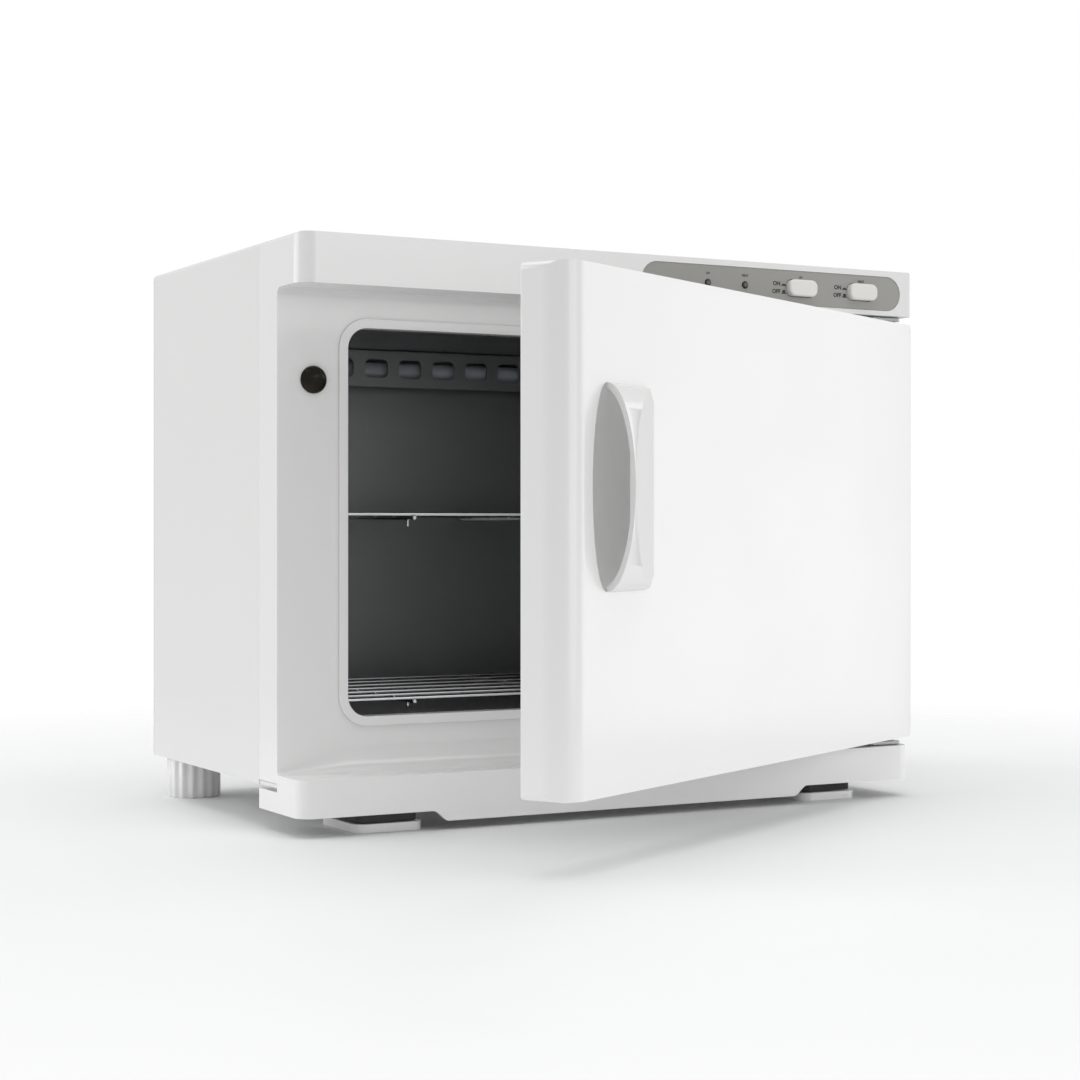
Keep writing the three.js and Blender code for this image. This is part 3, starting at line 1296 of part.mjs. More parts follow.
place(cabinet, "magnet_catch", magnetCatch(), "darkMagnet");
const topBracketZ = FASCIA_BOTTOM - GAP - BRACKET_THICKNESS;
const bottomBracketZ = SKIRT_TOP + GAP;
place(cabinet, "hinge_bracket_top", hingeBracket(topBracketZ), "zincSteel");
place(cabinet, "hinge_bracket_bottom", hingeBracket(bottomBracketZ), "zincSteel");
for (const [end, z0, z1] of [
  ["top", FASCIA_BOTTOM - GAP, FASCIA_BOTTOM - GAP - HINGE_PIN_LENGTH],
  ["bottom", bottomBracketZ, bottomBracketZ + HINGE_PIN_LENGTH],
]) {
  const pin = rod([HINGE_X, HINGE_Y, z0], [HINGE_X, HINGE_Y, z1], HINGE_PIN_RADIUS);
  place(cabinet, `hinge_pin_${end}`, pin, "zincSteel");
}

for (const [name, side] of [["left", -1], ["right", 1]]) {
  place(cabinet, `front_foot_${name}`, frontFoot(side), "glossWhite");
  place(cabinet, `front_foot_pad_${name}`, frontFootPad(side), "darkRubber");
  place(cabinet, `rear_foot_${name}`, rearFoot(side), "glossWhite");
}

// The door is modelled shut and turned about its hinge.
const hinge = new THREE.Group();
hinge.position.set(HINGE_X, HINGE_Y, 0);
hinge.rotation.z = THREE.MathUtils.degToRad(DOOR_OPEN_DEGREES);
const door = new THREE.Group();
door.position.set(-HINGE_X, -HINGE_Y, 0);
hinge.add(door);
cabinet.add(hinge);

place(door, "door_shell", doorShell(), "glossWhite");
place(door, "door_panel", doorPanel(), "glossWhite");
place(door, "door_insulation", doorInsulation(), "foam");
place(door, "door_gasket", doorGasket(), "silicone");
place(door, "door_handle", doorHandle(), "glossWhite");
place(door, "strike_plate", strikePlate(), "zincSteel");
place(door, "hinge_bush_top", hingeBush(DOOR_TOP + GAP, -1), "nylon");
place(door, "hinge_bush_bottom", hingeBush(DOOR_BOTTOM - GAP, 1), "nylon");

// The origin: on the standing surface, under the middle of the whole box with the door as it stands.
cabinet.updateMatrixWorld(true);
const extent = new THREE.Box3().setFromObject(cabinet, true);
const middle = extent.getCenter(new THREE.Vector3());
cabinet.position.set(-middle.x, -middle.y, -extent.min.z);

export default cabinet;
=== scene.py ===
"""Hot towel cabinet: the finished pieces, modelled round the fixed engineering frame."""

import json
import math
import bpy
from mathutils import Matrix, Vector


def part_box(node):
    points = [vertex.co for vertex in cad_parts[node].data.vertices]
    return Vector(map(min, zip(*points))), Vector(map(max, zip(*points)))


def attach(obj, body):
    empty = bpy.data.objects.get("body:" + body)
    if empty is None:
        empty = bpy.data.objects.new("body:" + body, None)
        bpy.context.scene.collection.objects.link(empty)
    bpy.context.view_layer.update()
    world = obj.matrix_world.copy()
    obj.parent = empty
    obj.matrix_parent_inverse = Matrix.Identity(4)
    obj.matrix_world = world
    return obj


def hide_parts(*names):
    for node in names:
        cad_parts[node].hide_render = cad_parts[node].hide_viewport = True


bl_info = {
    "name": "Hot towel cabinet",
    "version": (1, 0, 0),
    "blender": (4, 5, 0),
    "location": "3D view > Sidebar > Towel cabinet",
    "description": "Models a hot towel cabinet piece by piece round its engineering frame",
    "category": "Add Mesh",
}

import bpy
from bpy.props import FloatProperty, FloatVectorProperty, PointerProperty
from bpy.types import Operator, Panel, PropertyGroup
from mathutils import Matrix, Vector

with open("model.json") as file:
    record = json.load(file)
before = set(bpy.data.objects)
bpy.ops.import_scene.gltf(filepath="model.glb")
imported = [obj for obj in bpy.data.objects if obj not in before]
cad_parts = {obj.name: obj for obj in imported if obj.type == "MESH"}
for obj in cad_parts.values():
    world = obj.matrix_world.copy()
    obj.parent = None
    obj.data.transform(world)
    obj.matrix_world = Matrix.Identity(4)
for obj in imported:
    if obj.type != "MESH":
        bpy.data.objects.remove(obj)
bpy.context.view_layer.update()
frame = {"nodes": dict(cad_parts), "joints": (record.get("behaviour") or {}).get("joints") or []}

MM = 0.001
NEAR = 0.02 * MM  # two places closer than this are the same place
REACH = 10 * MM  # how far a cutter runs past what it cuts
SEAM = 0.3 * MM  # gap between pieces that meet
BUTTON_RADIUS = 4.5 * MM
BUSH_RADIUS = 5 * MM
GLAND_BARREL = 7 * MM
X, Y, Z = 0, 1, 2

# ---- Places read from the frame ----

FRONT_LOW, FRONT_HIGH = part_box("front_frame")
LEFT, RIGHT, TOP = FRONT_LOW.x, FRONT_HIGH.x, FRONT_HIGH.z
FRONT = FRONT_LOW.y
MIDDLE_X = (LEFT + RIGHT) / 2
FASCIA_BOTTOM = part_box("hinge_bracket_top")[1].z + SEAM
SKIRT_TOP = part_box("hinge_bracket_bottom")[0].z - SEAM
HINGE = next(joint for joint in frame["joints"] if joint["name"] == "door_hinge")
HINGE_AT = Vector(HINGE["pos_m"])
DOOR_OPEN = -math.radians(HINGE["range_deg"][0])  # the hinge's low limit is the door shut


def turned_shut(point):
    """A point on the open door, where it is with the door shut."""
    return Matrix.Rotation(-DOOR_OPEN, 3, "Z") @ (point - HINGE_AT) + HINGE_AT


def shut_box(node):
    """Lowest and highest corner of a door node with the door shut."""
    points = [turned_shut(vertex.co) for vertex in frame["nodes"][node].data.vertices]
    low = Vector([min(point[i] for point in points) for i in range(3)])
    high = Vector([max(point[i] for point in points) for i in range(3)])
    return low, high


def spans(node):
    """A node's limits along x, y and z."""
    low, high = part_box(node)
    return (low.x, high.x), (low.y, high.y), (low.z, high.z)


# ---- What a user can change ----


def size(name, description, millimetres):
    """A length property whose default is given in millimetres."""
    return FloatProperty(
        name=name,
        description=description,
        default=millimetres * MM,
        min=0.0,
        precision=5,
        unit="LENGTH",
    )


def tint(name, description, colour):
    """A colour property."""
    return FloatVectorProperty(
        name=name, description=description, default=colour, size=3, min=0.0, max=1.0, subtype="COLOR"
    )


class CabinetSizes(PropertyGroup):
    """Sizes of the fixed pieces."""

    left_radius: size("Fascia left corner", "Radius of the fascia's left front corner", 11)
    right_radius: size("Fascia right corner", "Radius of the fascia's right front corner", 2)
    skirt_radius: size("Skirt corners", "Radius of the skirt's front corners", 10.5)
    case_corner: size("Case corner", "Outside radius of the case's top bends", 3)
    wall: size("Moulding wall", "Wall thickness of the front moulding", 3)
    sheet: size("Sheet", "Thickness of the steel and aluminium sheet", 1)
    recess: size("Recess", "Front plane to the face that the door closes on", 35.8)
    floor_cove: size("Floor cove", "Radius between the recess face and the skirt", 16)
    hinge_cove: size("Hinge cove", "Radius of the same corner beside the hinge", 3)
    hinge_cove_length: size("Hinge cove length", "Length of that smaller corner", 41)
    cove_fade: size("Cove fade", "Length over which the floor cove grows from the free end", 46)
    top_cove: size("Top cove", "Radius between the recess face and the fascia", 5)
    skirt_end_bottom: size("Skirt ends", "Underside of the skirt's raised ends", 12)
    skirt_end_length: size("Skirt end length", "Raised stretch over each front foot", 87)
    skirt_step_length: size("Skirt step", "Length of the curve down to the middle", 10.5)
    column_bottom: size("Column bottom", "Underside of the two columns", 29.5)
    rail_top: size("Rail top", "Top of the side rail under the columns", 24.4)
    trim_flange: size("Trim flange", "Width of the ring round the opening", 5.9)
    trim_thickness: size("Trim thickness", "Thickness of that ring", 1)
    opening_radius: size("Opening corners", "Corner radius of the chamber opening", 13)
    chamber_radius: size("Chamber corners", "Bend radius of the chamber", 6)
    edge: size("Moulded edge", "Rounding of the moulded edges", 0.7)
    sheet_edge: size("Sheet edge", "Rounding of the sheet edges", 0.25)


class DoorSizes(PropertyGroup):
    """Sizes of the door and its handle."""

    free_radius: size("Free edge", "Radius along the door's free edge", 16.5)
    hinge_radius: size("Hinge edge", "Radius along the front of the hinge edge", 4.5)
    back_radius: size("Back edge", "Radius along the back of the hinge edge", 4)
    face_radius: size("Face corners", "Corner radius of the door seen from the front", 4.5)
    wall: size("Skin", "Wall thickness of the door skin", 2.5)
    edge: size("Door edge", "Rounding of the door's long edges", 1.1)
    pocket_depth: size("Pocket depth", "Depth of the finger pocket", 16)
    pocket_bulge: size("Pocket width", "Open half of the finger pocket", 14.4)
    pocket_undercut: size("Pocket undercut", "Half of the pocket that runs under the hood", 36)
    handle_chamfer_x: size("Hood chamfer along", "Length of the hood's cut corners", 13)
    handle_chamfer_z: size("Hood chamfer up", "Height of the hood's cut corners", 8)
    handle_wall: size("Hood wall", "Wall thickness of the hood", 2.5)
    handle_edge: size("Hood edge", "Rounding of the hood's edges", 0.7)
    plateau_inset: size("Plateau inset", "Raised middle of the inner panel to the opening's edge", 7)
    gasket_width: size("Seal width", "Width of the door seal", 6)


class RackSizes(PropertyGroup):
    """Sizes of the two wire racks."""

    wire: size("Cross wire", "Radius of a cross wire", 1)
    bearer: size("Bearer", "Radius of a bearer", 1.35)
    tip: size("Tip", "Radius of a bearer's rounded tip", 1.7)
    pitch: size("Wire pitch", "Distance between cross wires", 29)
    bearer_pitch: size("Bearer pitch", "Distance between bearers", 128)
    leg_set_back: size("Leg set back", "Bearer tip to its stop leg", 10)
    tip_ahead: size("Tip ahead", "Bearer tip's middle ahead of the front wire", 2)


class CabinetColours(PropertyGroup):
    """Colours of the finishes."""

    plastic: tint("White plastic", "Moulded front, door, ring and feet", (0.87, 0.87, 0.865))
    # Painted light: the pocket's inside is coloured whiter than the plastic, so that it looks lit under
    # the hood
    pocket: tint("Pocket painted light", "Inside of the finger pocket", (0.98, 0.98, 0.975))
    enamel: tint("Enamel", "Painted steel case", (0.80, 0.80, 0.795))
    overlay: tint("Grey overlay", "Control panel", (0.36, 0.355, 0.335))
    button: tint("Buttons", "Push buttons", (0.84, 0.825, 0.79))
    ink: tint("Ink", "Lettering on the control panel", (0.02, 0.02, 0.02))
    lens: tint("Lens", "Indicator lenses", (0.045, 0.040, 0.036))
    catch: tint("Catch", "Magnetic catch", (0.014, 0.012, 0.005))
    # Painted shade: the aluminium is coloured dark so that the chamber looks shaded inside
    aluminium: tint("Aluminium", "Chamber and ledges", (0.30, 0.305, 0.31))
    zinc: tint("Zinc", "Hinges, screws and plates", (0.55, 0.56, 0.58))
    chrome: tint("Chrome", "Wire racks", (0.74, 0.75, 0.76))
    black: tint("Black plastic", "Gland and switches", (0.018, 0.019, 0.021))
    nylon: tint("Nylon", "Bushes and lamp holders", (0.72, 0.71, 0.66))
    silicone: tint("Silicone", "Door seal", (0.72, 0.72, 0.71))
    # Painted shade: the blocks over the front feet are coloured near black to stand for the shadow under
    # the skirt
    rubber: tint("Rubber", "Blocks over the front feet", (0.055, 0.056, 0.058))
    felt: tint("Felt", "Insulation", (0.66, 0.61, 0.52))
    glass: tint("Lamp glass", "Ultraviolet tube", (0.80, 0.85, 0.92))
    floor: tint("Floor", "Studio floor", (0.93, 0.935, 0.94))


# ---- Modelling by hand: small helpers round Blender's own operators ----


def clear():
    """Leaves edit mode with nothing selected."""
    if bpy.context.mode != "OBJECT":
        bpy.ops.object.mode_set(mode="OBJECT")
    bpy.ops.object.select_all(action="DESELECT")


def take(piece):
    """Makes a piece the only selected and active one."""
    clear()
    piece.select_set(True)
    bpy.context.view_layer.objects.active = piece


def settle(piece):
    """Moves a piece's place, turn and scale into its mesh."""
    take(piece)
    bpy.ops.object.transform_apply(location=True, rotation=True, scale=True)
    return piece


def block(name, xs, ys, zs):
    """A rectangular block between limits along x, y and z."""
    clear()
    low = Vector((xs[0], ys[0], zs[0]))
    high = Vector((xs[1], ys[1], zs[1]))
    bpy.ops.mesh.primitive_cube_add(size=1, location=(low + high) / 2, scale=high - low)
    piece = bpy.context.object
    piece.name = name
    return settle(piece)


def pick(piece, kind, test):
    """Goes into edit mode with only the points, edges or faces selected whose points pass a test."""
    take(piece)
    bpy.ops.object.mode_set(mode="EDIT")
    bpy.ops.mesh.select_mode(type=kind)
    bpy.ops.mesh.select_all(action="DESELECT")
    bpy.ops.object.mode_set(mode="OBJECT")
    mesh = piece.data
    points = [vertex.co for vertex in mesh.vertices]
    if kind == "VERT":
        for vertex in mesh.vertices:
            vertex.select = test([vertex.co])
    else:
        for item in mesh.edges if kind == "EDGE" else mesh.polygons:
            item.select = test([points[i] for i in item.vertices])
    bpy.ops.object.mode_set(mode="EDIT")


def is_along(axis, at):
    """A test for edges that run along one axis through a point."""
    across = [i for i in (X, Y, Z) if i != axis]

    def test(points):
        return all(abs(point[i] - at[i]) < NEAR for point in points for i in across)

    return test


def is_at(axis, place):
    """A test for what lies in the plane at a place along one axis."""
    return lambda points: all(abs(point[axis] - place) < NEAR for point in points)


def round_edge(piece, axis, at, radius, segments=12):
    """Rounds the edge that runs along an axis through a point."""
    if radius <= 0:
        return piece
    pick(piece, "EDGE", is_along(axis, at))
    bpy.ops.mesh.bevel(offset=radius, segments=segments, affect="EDGES", clamp_overlap=False)
    clear()
    return piece


def round_rim(piece, place, radius, segments):
    """Rounds the edges that lie in the plane at a place along y."""
    pick(piece, "EDGE", is_at(Y, place))
    bpy.ops.mesh.bevel(offset=radius, segments=segments, affect="EDGES")
    clear()
    return piece


def rounded_block(name, axis, xs, ys, zs, radii, segments=12):
    """A block with its four edges along one axis rounded: low-low, high-low, high-high, low-high."""
    piece = block(name, xs, ys, zs)
    limits = [xs, ys, zs]
    first, second = [i for i in (X, Y, Z) if i != axis]
    turns = [(0, 0), (1, 0), (1, 1), (0, 1)]
    for (i, j), radius in zip(turns, radii):
        at = [0.0, 0.0, 0.0]
        at[first] = limits[first][i]
        at[second] = limits[second][j]
        round_edge(piece, axis, at, radius, segments)
    return piece


def even_block(name, axis, xs, ys, zs, radius, segments=12):
    """A block with the same radius along its four edges on one axis."""
    return rounded_block(name, axis, xs, ys, zs, [radius] * 4, segments)


def combine(piece, others, operation):
    """Joins others on, cuts them out, or keeps only what lies in them."""
    for other in others:
        take(piece)
        modifier = piece.modifiers.new(operation.title(), "BOOLEAN")
        modifier.object = other
        modifier.operation = operation
        modifier.solver = "EXACT"
        bpy.ops.object.modifier_apply(modifier=modifier.name)
        bpy.data.objects.remove(other, do_unlink=True)
    return piece


def join_on(piece, *others):
    """Joins other solids on to a piece."""
    return combine(piece, others, "UNION")


def cut_out(piece, *cutters):
    """Cuts other solids out of a piece."""
    return combine(piece, cutters, "DIFFERENCE")


def keep_inside(piece, *moulds):
    """Keeps only what lies inside the moulds."""
    return combine(piece, moulds, "INTERSECT")


def merge(pieces, name):
    """Makes separate pieces one object without changing their meshes."""
    take(pieces[0])
    for piece in pieces[1:]:
        piece.select_set(True)
    bpy.ops.object.join()
    pieces[0].name = name
    return pieces[0]


def copy_of(piece, name, move=(0, 0, 0)):
    """A copy with its own mesh, moved."""
    take(piece)
    bpy.ops.object.duplicate(linked=False)
    twin = bpy.context.object
    twin.name = name
    twin.location = Vector(move)
    return settle(twin)


def mirrored(piece, name, centre_x):
    """A copy mirrored left to right about a plane."""
    twin = copy_of(piece, name, (-2 * centre_x, 0, 0))
    twin.scale = (-1, 1, 1)
    settle(twin)
    bpy.ops.object.mode_set(mode="EDIT")
    bpy.ops.mesh.select_all(action="SELECT")
    bpy.ops.mesh.normals_make_consistent(inside=False)
    clear()
    return twin


def clean(piece):
    """Merges doubled points and flat splits that the cuts left."""
    take(piece)
    bpy.ops.object.mode_set(mode="EDIT")
    bpy.ops.mesh.select_all(action="SELECT")
    bpy.ops.mesh.remove_doubles(threshold=0.01 * MM)
    bpy.ops.mesh.dissolve_limited(angle_limit=math.radians(0.4))
    clear()
    return piece


def soften(piece, width, segments=3, angle=32):
    """Rounds every sharp edge by a small width and shades the piece smooth between its edges."""
    clean(piece)
    take(piece)
    bevel = piece.modifiers.new("Edges", "BEVEL")
    bevel.width = width
    bevel.segments = segments
    bevel.limit_method = "ANGLE"
    bevel.angle_limit = math.radians(angle)
    bevel.use_clamp_overlap = True
    bevel.miter_outer = "MITER_ARC"
    bpy.ops.object.modifier_apply(modifier=bevel.name)
    return shade(piece)


def shade(piece, angle=38):
    """Smooth shading that keeps flat faces flat."""
    take(piece)
    bpy.ops.object.shade_smooth_by_angle(angle=math.radians(angle))
    weighted = piece.modifiers.new("Weighted", "WEIGHTED_NORMAL")
    weighted.keep_sharp = True
    bpy.ops.object.modifier_apply(modifier=weighted.name)
    return piece


def turned(name, profile, at=(0, 0, 0), towards=(0, 0, 1), sides=48):
    """A turned piece: a disc drawn out step by step along [radius, distance] pairs, pointing one way."""
    clear()
    radius, start = profile[0]
    bpy.ops.mesh.primitive_circle_add(
        vertices=sides, radius=radius, fill_type="NGON", location=(0, 0, start)
    )
    piece = bpy.context.object
    piece.name = name
    settle(piece)
    bpy.ops.object.mode_set(mode="EDIT")
    bpy.ops.mesh.select_mode(type="FACE")
    bpy.ops.mesh.select_all(action="SELECT")
    for next_radius, distance in profile[1:]:
        bpy.ops.mesh.extrude_region_move(
            TRANSFORM_OT_translate={"value": (0, 0, distance - start)}
        )
        ratio = next_radius / radius
        bpy.ops.transform.resize(value=(ratio, ratio, 1), center_override=(0, 0, distance))
        radius, start = next_radius, distance
    bpy.ops.mesh.select_all(action="SELECT")
    bpy.ops.mesh.normals_make_consistent(inside=False)
    clear()
    turn = Vector((0, 0, 1)).rotation_difference(Vector(towards))
    piece.rotation_mode = "QUATERNION"
    piece.rotation_quaternion = turn
    piece.location = Vector(at)
    return settle(piece)


def drill(radius, start, length, towards=(0, 1, 0), sides=32):
    """A round cutter that runs one way from a point."""
    return turned("hole", [(radius, 0), (radius, length)], start, towards, sides)


def dome(radius, rise, steps=10):
    """Profile pairs of a dome from near its crown out to its rim, rising to distance 0."""
    pairs = []
    for i in range(1, steps + 1):
        angle = i / steps * math.pi / 2
        pairs.append((radius * math.sin(angle), rise * (1 - math.cos(angle))))
    return pairs


def rod(name, start, end, radius, sides=20, round_end=0.35):
    """A round bar between two points with softly rounded ends."""
    start, end = Vector(start), Vector(end)
    length = (end - start).length
    lip = radius * round_end
    profile = [
        (radius - lip, 0),
        (radius - lip * 0.3, lip * 0.3),
        (radius, lip),
        (radius, length - lip),
        (radius - lip * 0.3, length - lip * 0.3),
        (radius - lip, length),
    ]
    return turned(name, profile, start, (end - start).normalized(), sides)


def as_open(piece):
    """Turns a door piece from shut to where the door stands."""
    there = Matrix.Translation(HINGE_AT)
    turn = there @ Matrix.Rotation(DOOR_OPEN, 4, "Z") @ there.inverted()
    piece.matrix_world = turn @ piece.matrix_world
    return settle(piece)


def hand_over(piece, body, slot, *nodes, finish=None):
    """Gives a finished piece the finish of its slot, or the finish given, puts it under its body and
    hides the nodes it stands for.
    """
    piece.data.materials.clear()
    piece.data.materials.append(FINISHES[finish or slot])
    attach(piece, body)
    if nodes:
        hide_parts(*nodes)
    clear()
    return piece


# ---- Finishes ----

FINISHES = {}


def socket_group(name, inputs, outputs):
    """A new shader node group with named inputs and outputs, and its two end nodes."""
    group = bpy.data.node_groups.new(name, "ShaderNodeTree")
    for label, kind, default in inputs:
        entry = group.interface.new_socket(name=label, in_out="INPUT", socket_type=kind)
        if default is not None:
            entry.default_value = default
    for label, kind in outputs:
        group.interface.new_socket(name=label, in_out="OUTPUT", socket_type=kind)
    start = group.nodes.new("NodeGroupInput")
    end = group.nodes.new("NodeGroupOutput")
    return group, start, end


def grain_group():
    """Fine surface grain and a slow change of tone, as on moulded and painted parts."""
    group, start, end = socket_group(
        "surface_grain",
        [
            ("Vector", "NodeSocketVector", None),
            ("Grain Scale", "NodeSocketFloat", 900.0),
            ("Tone Scale", "NodeSocketFloat", 9.0),
        ],
        [("Height", "NodeSocketFloat"), ("Tone", "NodeSocketFloat")],
    )
    nodes, links = group.nodes, group.links
    fine = nodes.new("ShaderNodeTexNoise")
    fine.inputs["Detail"].default_value = 3.0
    slow = nodes.new("ShaderNodeTexNoise")
    slow.inputs["Detail"].default_value = 4.0
    slow.inputs["Roughness"].default_value = 0.6
    for texture, scale in ((fine, "Grain Scale"), (slow, "Tone Scale")):
        links.new(start.outputs["Vector"], texture.inputs["Vector"])
        links.new(start.outputs[scale], texture.inputs["Scale"])
    links.new(fine.outputs["Fac"], end.inputs["Height"])
    links.new(slow.outputs["Fac"], end.inputs["Tone"])
    return group


def streak_group():
    """Long fine lines along one direction, as rolling or brushing leaves on metal."""
    group, start, end = socket_group(
        "rolled_lines",
        [
            ("Vector", "NodeSocketVector", None),
            ("Stretch", "NodeSocketVector", (1.0, 60.0, 60.0)),
            ("Line Scale", "NodeSocketFloat", 30.0),
        ],
        [("Height", "NodeSocketFloat"), ("Streak", "NodeSocketFloat")],
    )
    nodes, links = group.nodes, group.links
    stretch = nodes.new("ShaderNodeVectorMath")
    stretch.operation = "MULTIPLY"
    lines = nodes.new("ShaderNodeTexNoise")
    lines.inputs["Detail"].default_value = 5.0
    lines.inputs["Roughness"].default_value = 0.65
    links.new(start.outputs["Vector"], stretch.inputs[0])
    links.new(start.outputs["Stretch"], stretch.inputs[1])
    links.new(stretch.outputs[0], lines.inputs["Vector"])
    links.new(start.outputs["Line Scale"], lines.inputs["Scale"])
    links.new(lines.outputs["Fac"], end.inputs["Height"])
    links.new(lines.outputs["Fac"], end.inputs["Streak"])
    return group


def start_finish(name):
    """A new material with its shader, output and object coordinates."""
    material = bpy.data.materials.new(name)
    material.use_nodes = True
    nodes = material.node_tree.nodes
    shader = nodes["Principled BSDF"]
    places = nodes.new("ShaderNodeTexCoord")
    return material, nodes, material.node_tree.links, shader, places


def spread(nodes, links, value, low, high):
    """Maps a 0 to 1 value between two limits."""
    node = nodes.new("ShaderNodeMapRange")
    node.inputs["From Min"].default_value = 0.3
    node.inputs["From Max"].default_value = 0.7
    node.inputs["To Min"].default_value = low
    node.inputs["To Max"].default_value = high
    links.new(value, node.inputs["Value"])
    return node.outputs["Result"]


def mixed(nodes, links, mask, first, second):
    """A colour between two, by a mask."""
    node = nodes.new("ShaderNodeMix")
    node.data_type = "RGBA"
    node.inputs[6].default_value = (*first, 1)
    node.inputs[7].default_value = (*second, 1)
    links.new(mask, node.inputs["Factor"])
    return node.outputs[2]


def bumped(nodes, links, shader, height, strength, distance):
    """Feeds a height to the shader's normal."""
    node = nodes.new("ShaderNodeBump")
    node.inputs["Strength"].default_value = strength
    node.inputs["Distance"].default_value = distance
    links.new(height, node.inputs["Height"])
    links.new(node.outputs["Normal"], shader.inputs["Normal"])


def shaded(colour, factor):
    """A colour made darker or lighter."""
    return tuple(min(1.0, channel * factor) for channel in colour)


def grained(name, colour, roughness, group, grain, bump=0.03, depth=0.05, tone=0.965):
    """A moulded, painted or rubber finish: fine grain and a slow change of tone."""
    material, nodes, links, shader, places = start_finish(name)
    effect = nodes.new("ShaderNodeGroup")
    effect.node_tree = group
    effect.inputs["Grain Scale"].default_value = grain
    links.new(places.outputs["Object"], effect.inputs["Vector"])
    base = mixed(nodes, links, effect.outputs["Tone"], colour, shaded(colour, tone))
    links.new(base, shader.inputs["Base Color"])
    low, high = roughness
    links.new(spread(nodes, links, effect.outputs["Tone"], low, high), shader.inputs["Roughness"])
    bumped(nodes, links, shader, effect.outputs["Height"], bump, depth * MM)
    FINISHES[name] = material
    return material


def brushed(name, colour, roughness, group, stretch, scale, bump, tone):
    """A metal finish with rolled or brushed lines."""
    material, nodes, links, shader, places = start_finish(name)
    effect = nodes.new("ShaderNodeGroup")
    effect.node_tree = group
    effect.inputs["Stretch"].default_value = stretch
    effect.inputs["Line Scale"].default_value = scale
    links.new(places.outputs["Object"], effect.inputs["Vector"])
    base = mixed(nodes, links, effect.outputs["Streak"], colour, shaded(colour, tone))
    links.new(base, shader.inputs["Base Color"])
    low, high = roughness
    links.new(spread(nodes, links, effect.outputs["Streak"], low, high), shader.inputs["Roughness"])
    bumped(nodes, links, shader, effect.outputs["Height"], bump, 0.02 * MM)
    shader.inputs["Metallic"].default_value = 1.0
    FINISHES[name] = material
    return material


def glass_finish(name, colour, group):
    """Thin lamp glass, slightly clouded."""
    material = grained(name, colour, (0.03, 0.10), group, 300.0, 0.02, 0.02, 0.94)
    shader = material.node_tree.nodes["Principled BSDF"]
    shader.inputs["Transmission Weight"].default_value = 0.35
    shader.inputs["IOR"].default_value = 1.47
    return material


LENS_HIGHLIGHT_DEPTH = 0.35 * MM  # how far behind the crown the painted highlight reaches


def lens_finish(name, colour, group, crown_y):
    """Dark lens with a painted highlight: paler at the crown, darker behind it."""
    material = grained(name, colour, (0.10, 0.18), group, 900.0, 0.02, 0.02, 0.6)
    nodes, links = material.node_tree.nodes, material.node_tree.links
    shader = nodes["Principled BSDF"]
    places = nodes.new("ShaderNodeTexCoord")
    parts = nodes.new("ShaderNodeSeparateXYZ")
    links.new(places.outputs["Object"], parts.inputs["Vector"])
    depth = nodes.new("ShaderNodeMapRange")
    depth.inputs["From Min"].default_value = crown_y
    depth.inputs["From Max"].default_value = crown_y + LENS_HIGHLIGHT_DEPTH
    links.new(parts.outputs["Y"], depth.inputs["Value"])
    # Painted highlight: the base colour is paler at the crown and darker behind it
    base = mixed(nodes, links, depth.outputs["Result"], shaded(colour, 2.6), shaded(colour, 0.5))
    links.new(base, shader.inputs["Base Color"])
    return material


# Colour, range of roughness, grain scale, bump strength, bump depth in millimetres, darkest tone
GRAINED = {
    "gloss_white": ("plastic", (0.16, 0.24), 700, 0.02, 0.03, 0.975),
    # Painted light: a whiter copy of the plastic for the inside of the finger pocket
    "pocket_white": ("pocket", (0.24, 0.34), 700, 0.02, 0.03, 0.99),
    "case_enamel": ("enamel", (0.28, 0.36), 700, 0.02, 0.02, 0.985),
    "panel_grey": ("overlay", (0.42, 0.55), 2600, 0.12, 0.04, 0.92),
    "button_white": ("button", (0.26, 0.36), 1500, 0.05, 0.03, 0.95),
    "panel_ink": ("ink", (0.38, 0.5), 2000, 0.05, 0.01, 0.7),
    "catch_dark": ("catch", (0.06, 0.12), 500, 0.02, 0.02, 0.6),
    "black_plastic": ("black", (0.38, 0.52), 1400, 0.25, 0.05, 0.75),
    "natural_nylon": ("nylon", (0.40, 0.55), 1200, 0.1, 0.04, 0.93),
    "seal_silicone": ("silicone", (0.55, 0.68), 1500, 0.15, 0.04, 0.94),
    # Painted shade: near-black finish of the blocks that stand for the shadow over the front feet
    "foot_rubber": ("rubber", (0.65, 0.8), 1100, 0.35, 0.08, 0.75),
    "insulation_felt": ("felt", (0.9, 1.0), 600, 0.9, 0.4, 0.72),
}

# Shader values of the two finishes that shine otherwise than plain plastic
SHEEN = {
    "gloss_white": {"Coat Weight": 0.3, "Coat Roughness": 0.05},
    "catch_dark": {"Specular IOR Level": 0.2},
}

# Colour, range of roughness, stretch of the lines, line scale, bump strength, darkest tone
BRUSHED = {
    # Painted shade: the chamber's aluminium is darkened to stand for the shade inside the chamber
    "chamber_aluminium": ("aluminium", (0.26, 0.42), (60, 2, 60), 30, 0.12, 0.86),
    "zinc_steel": ("zinc", (0.3, 0.48), (8, 8, 8), 60, 0.1, 0.78),
    "rack_chrome": ("chrome", (0.08, 0.16), (2, 40, 40), 40, 0.05, 0.9),
}


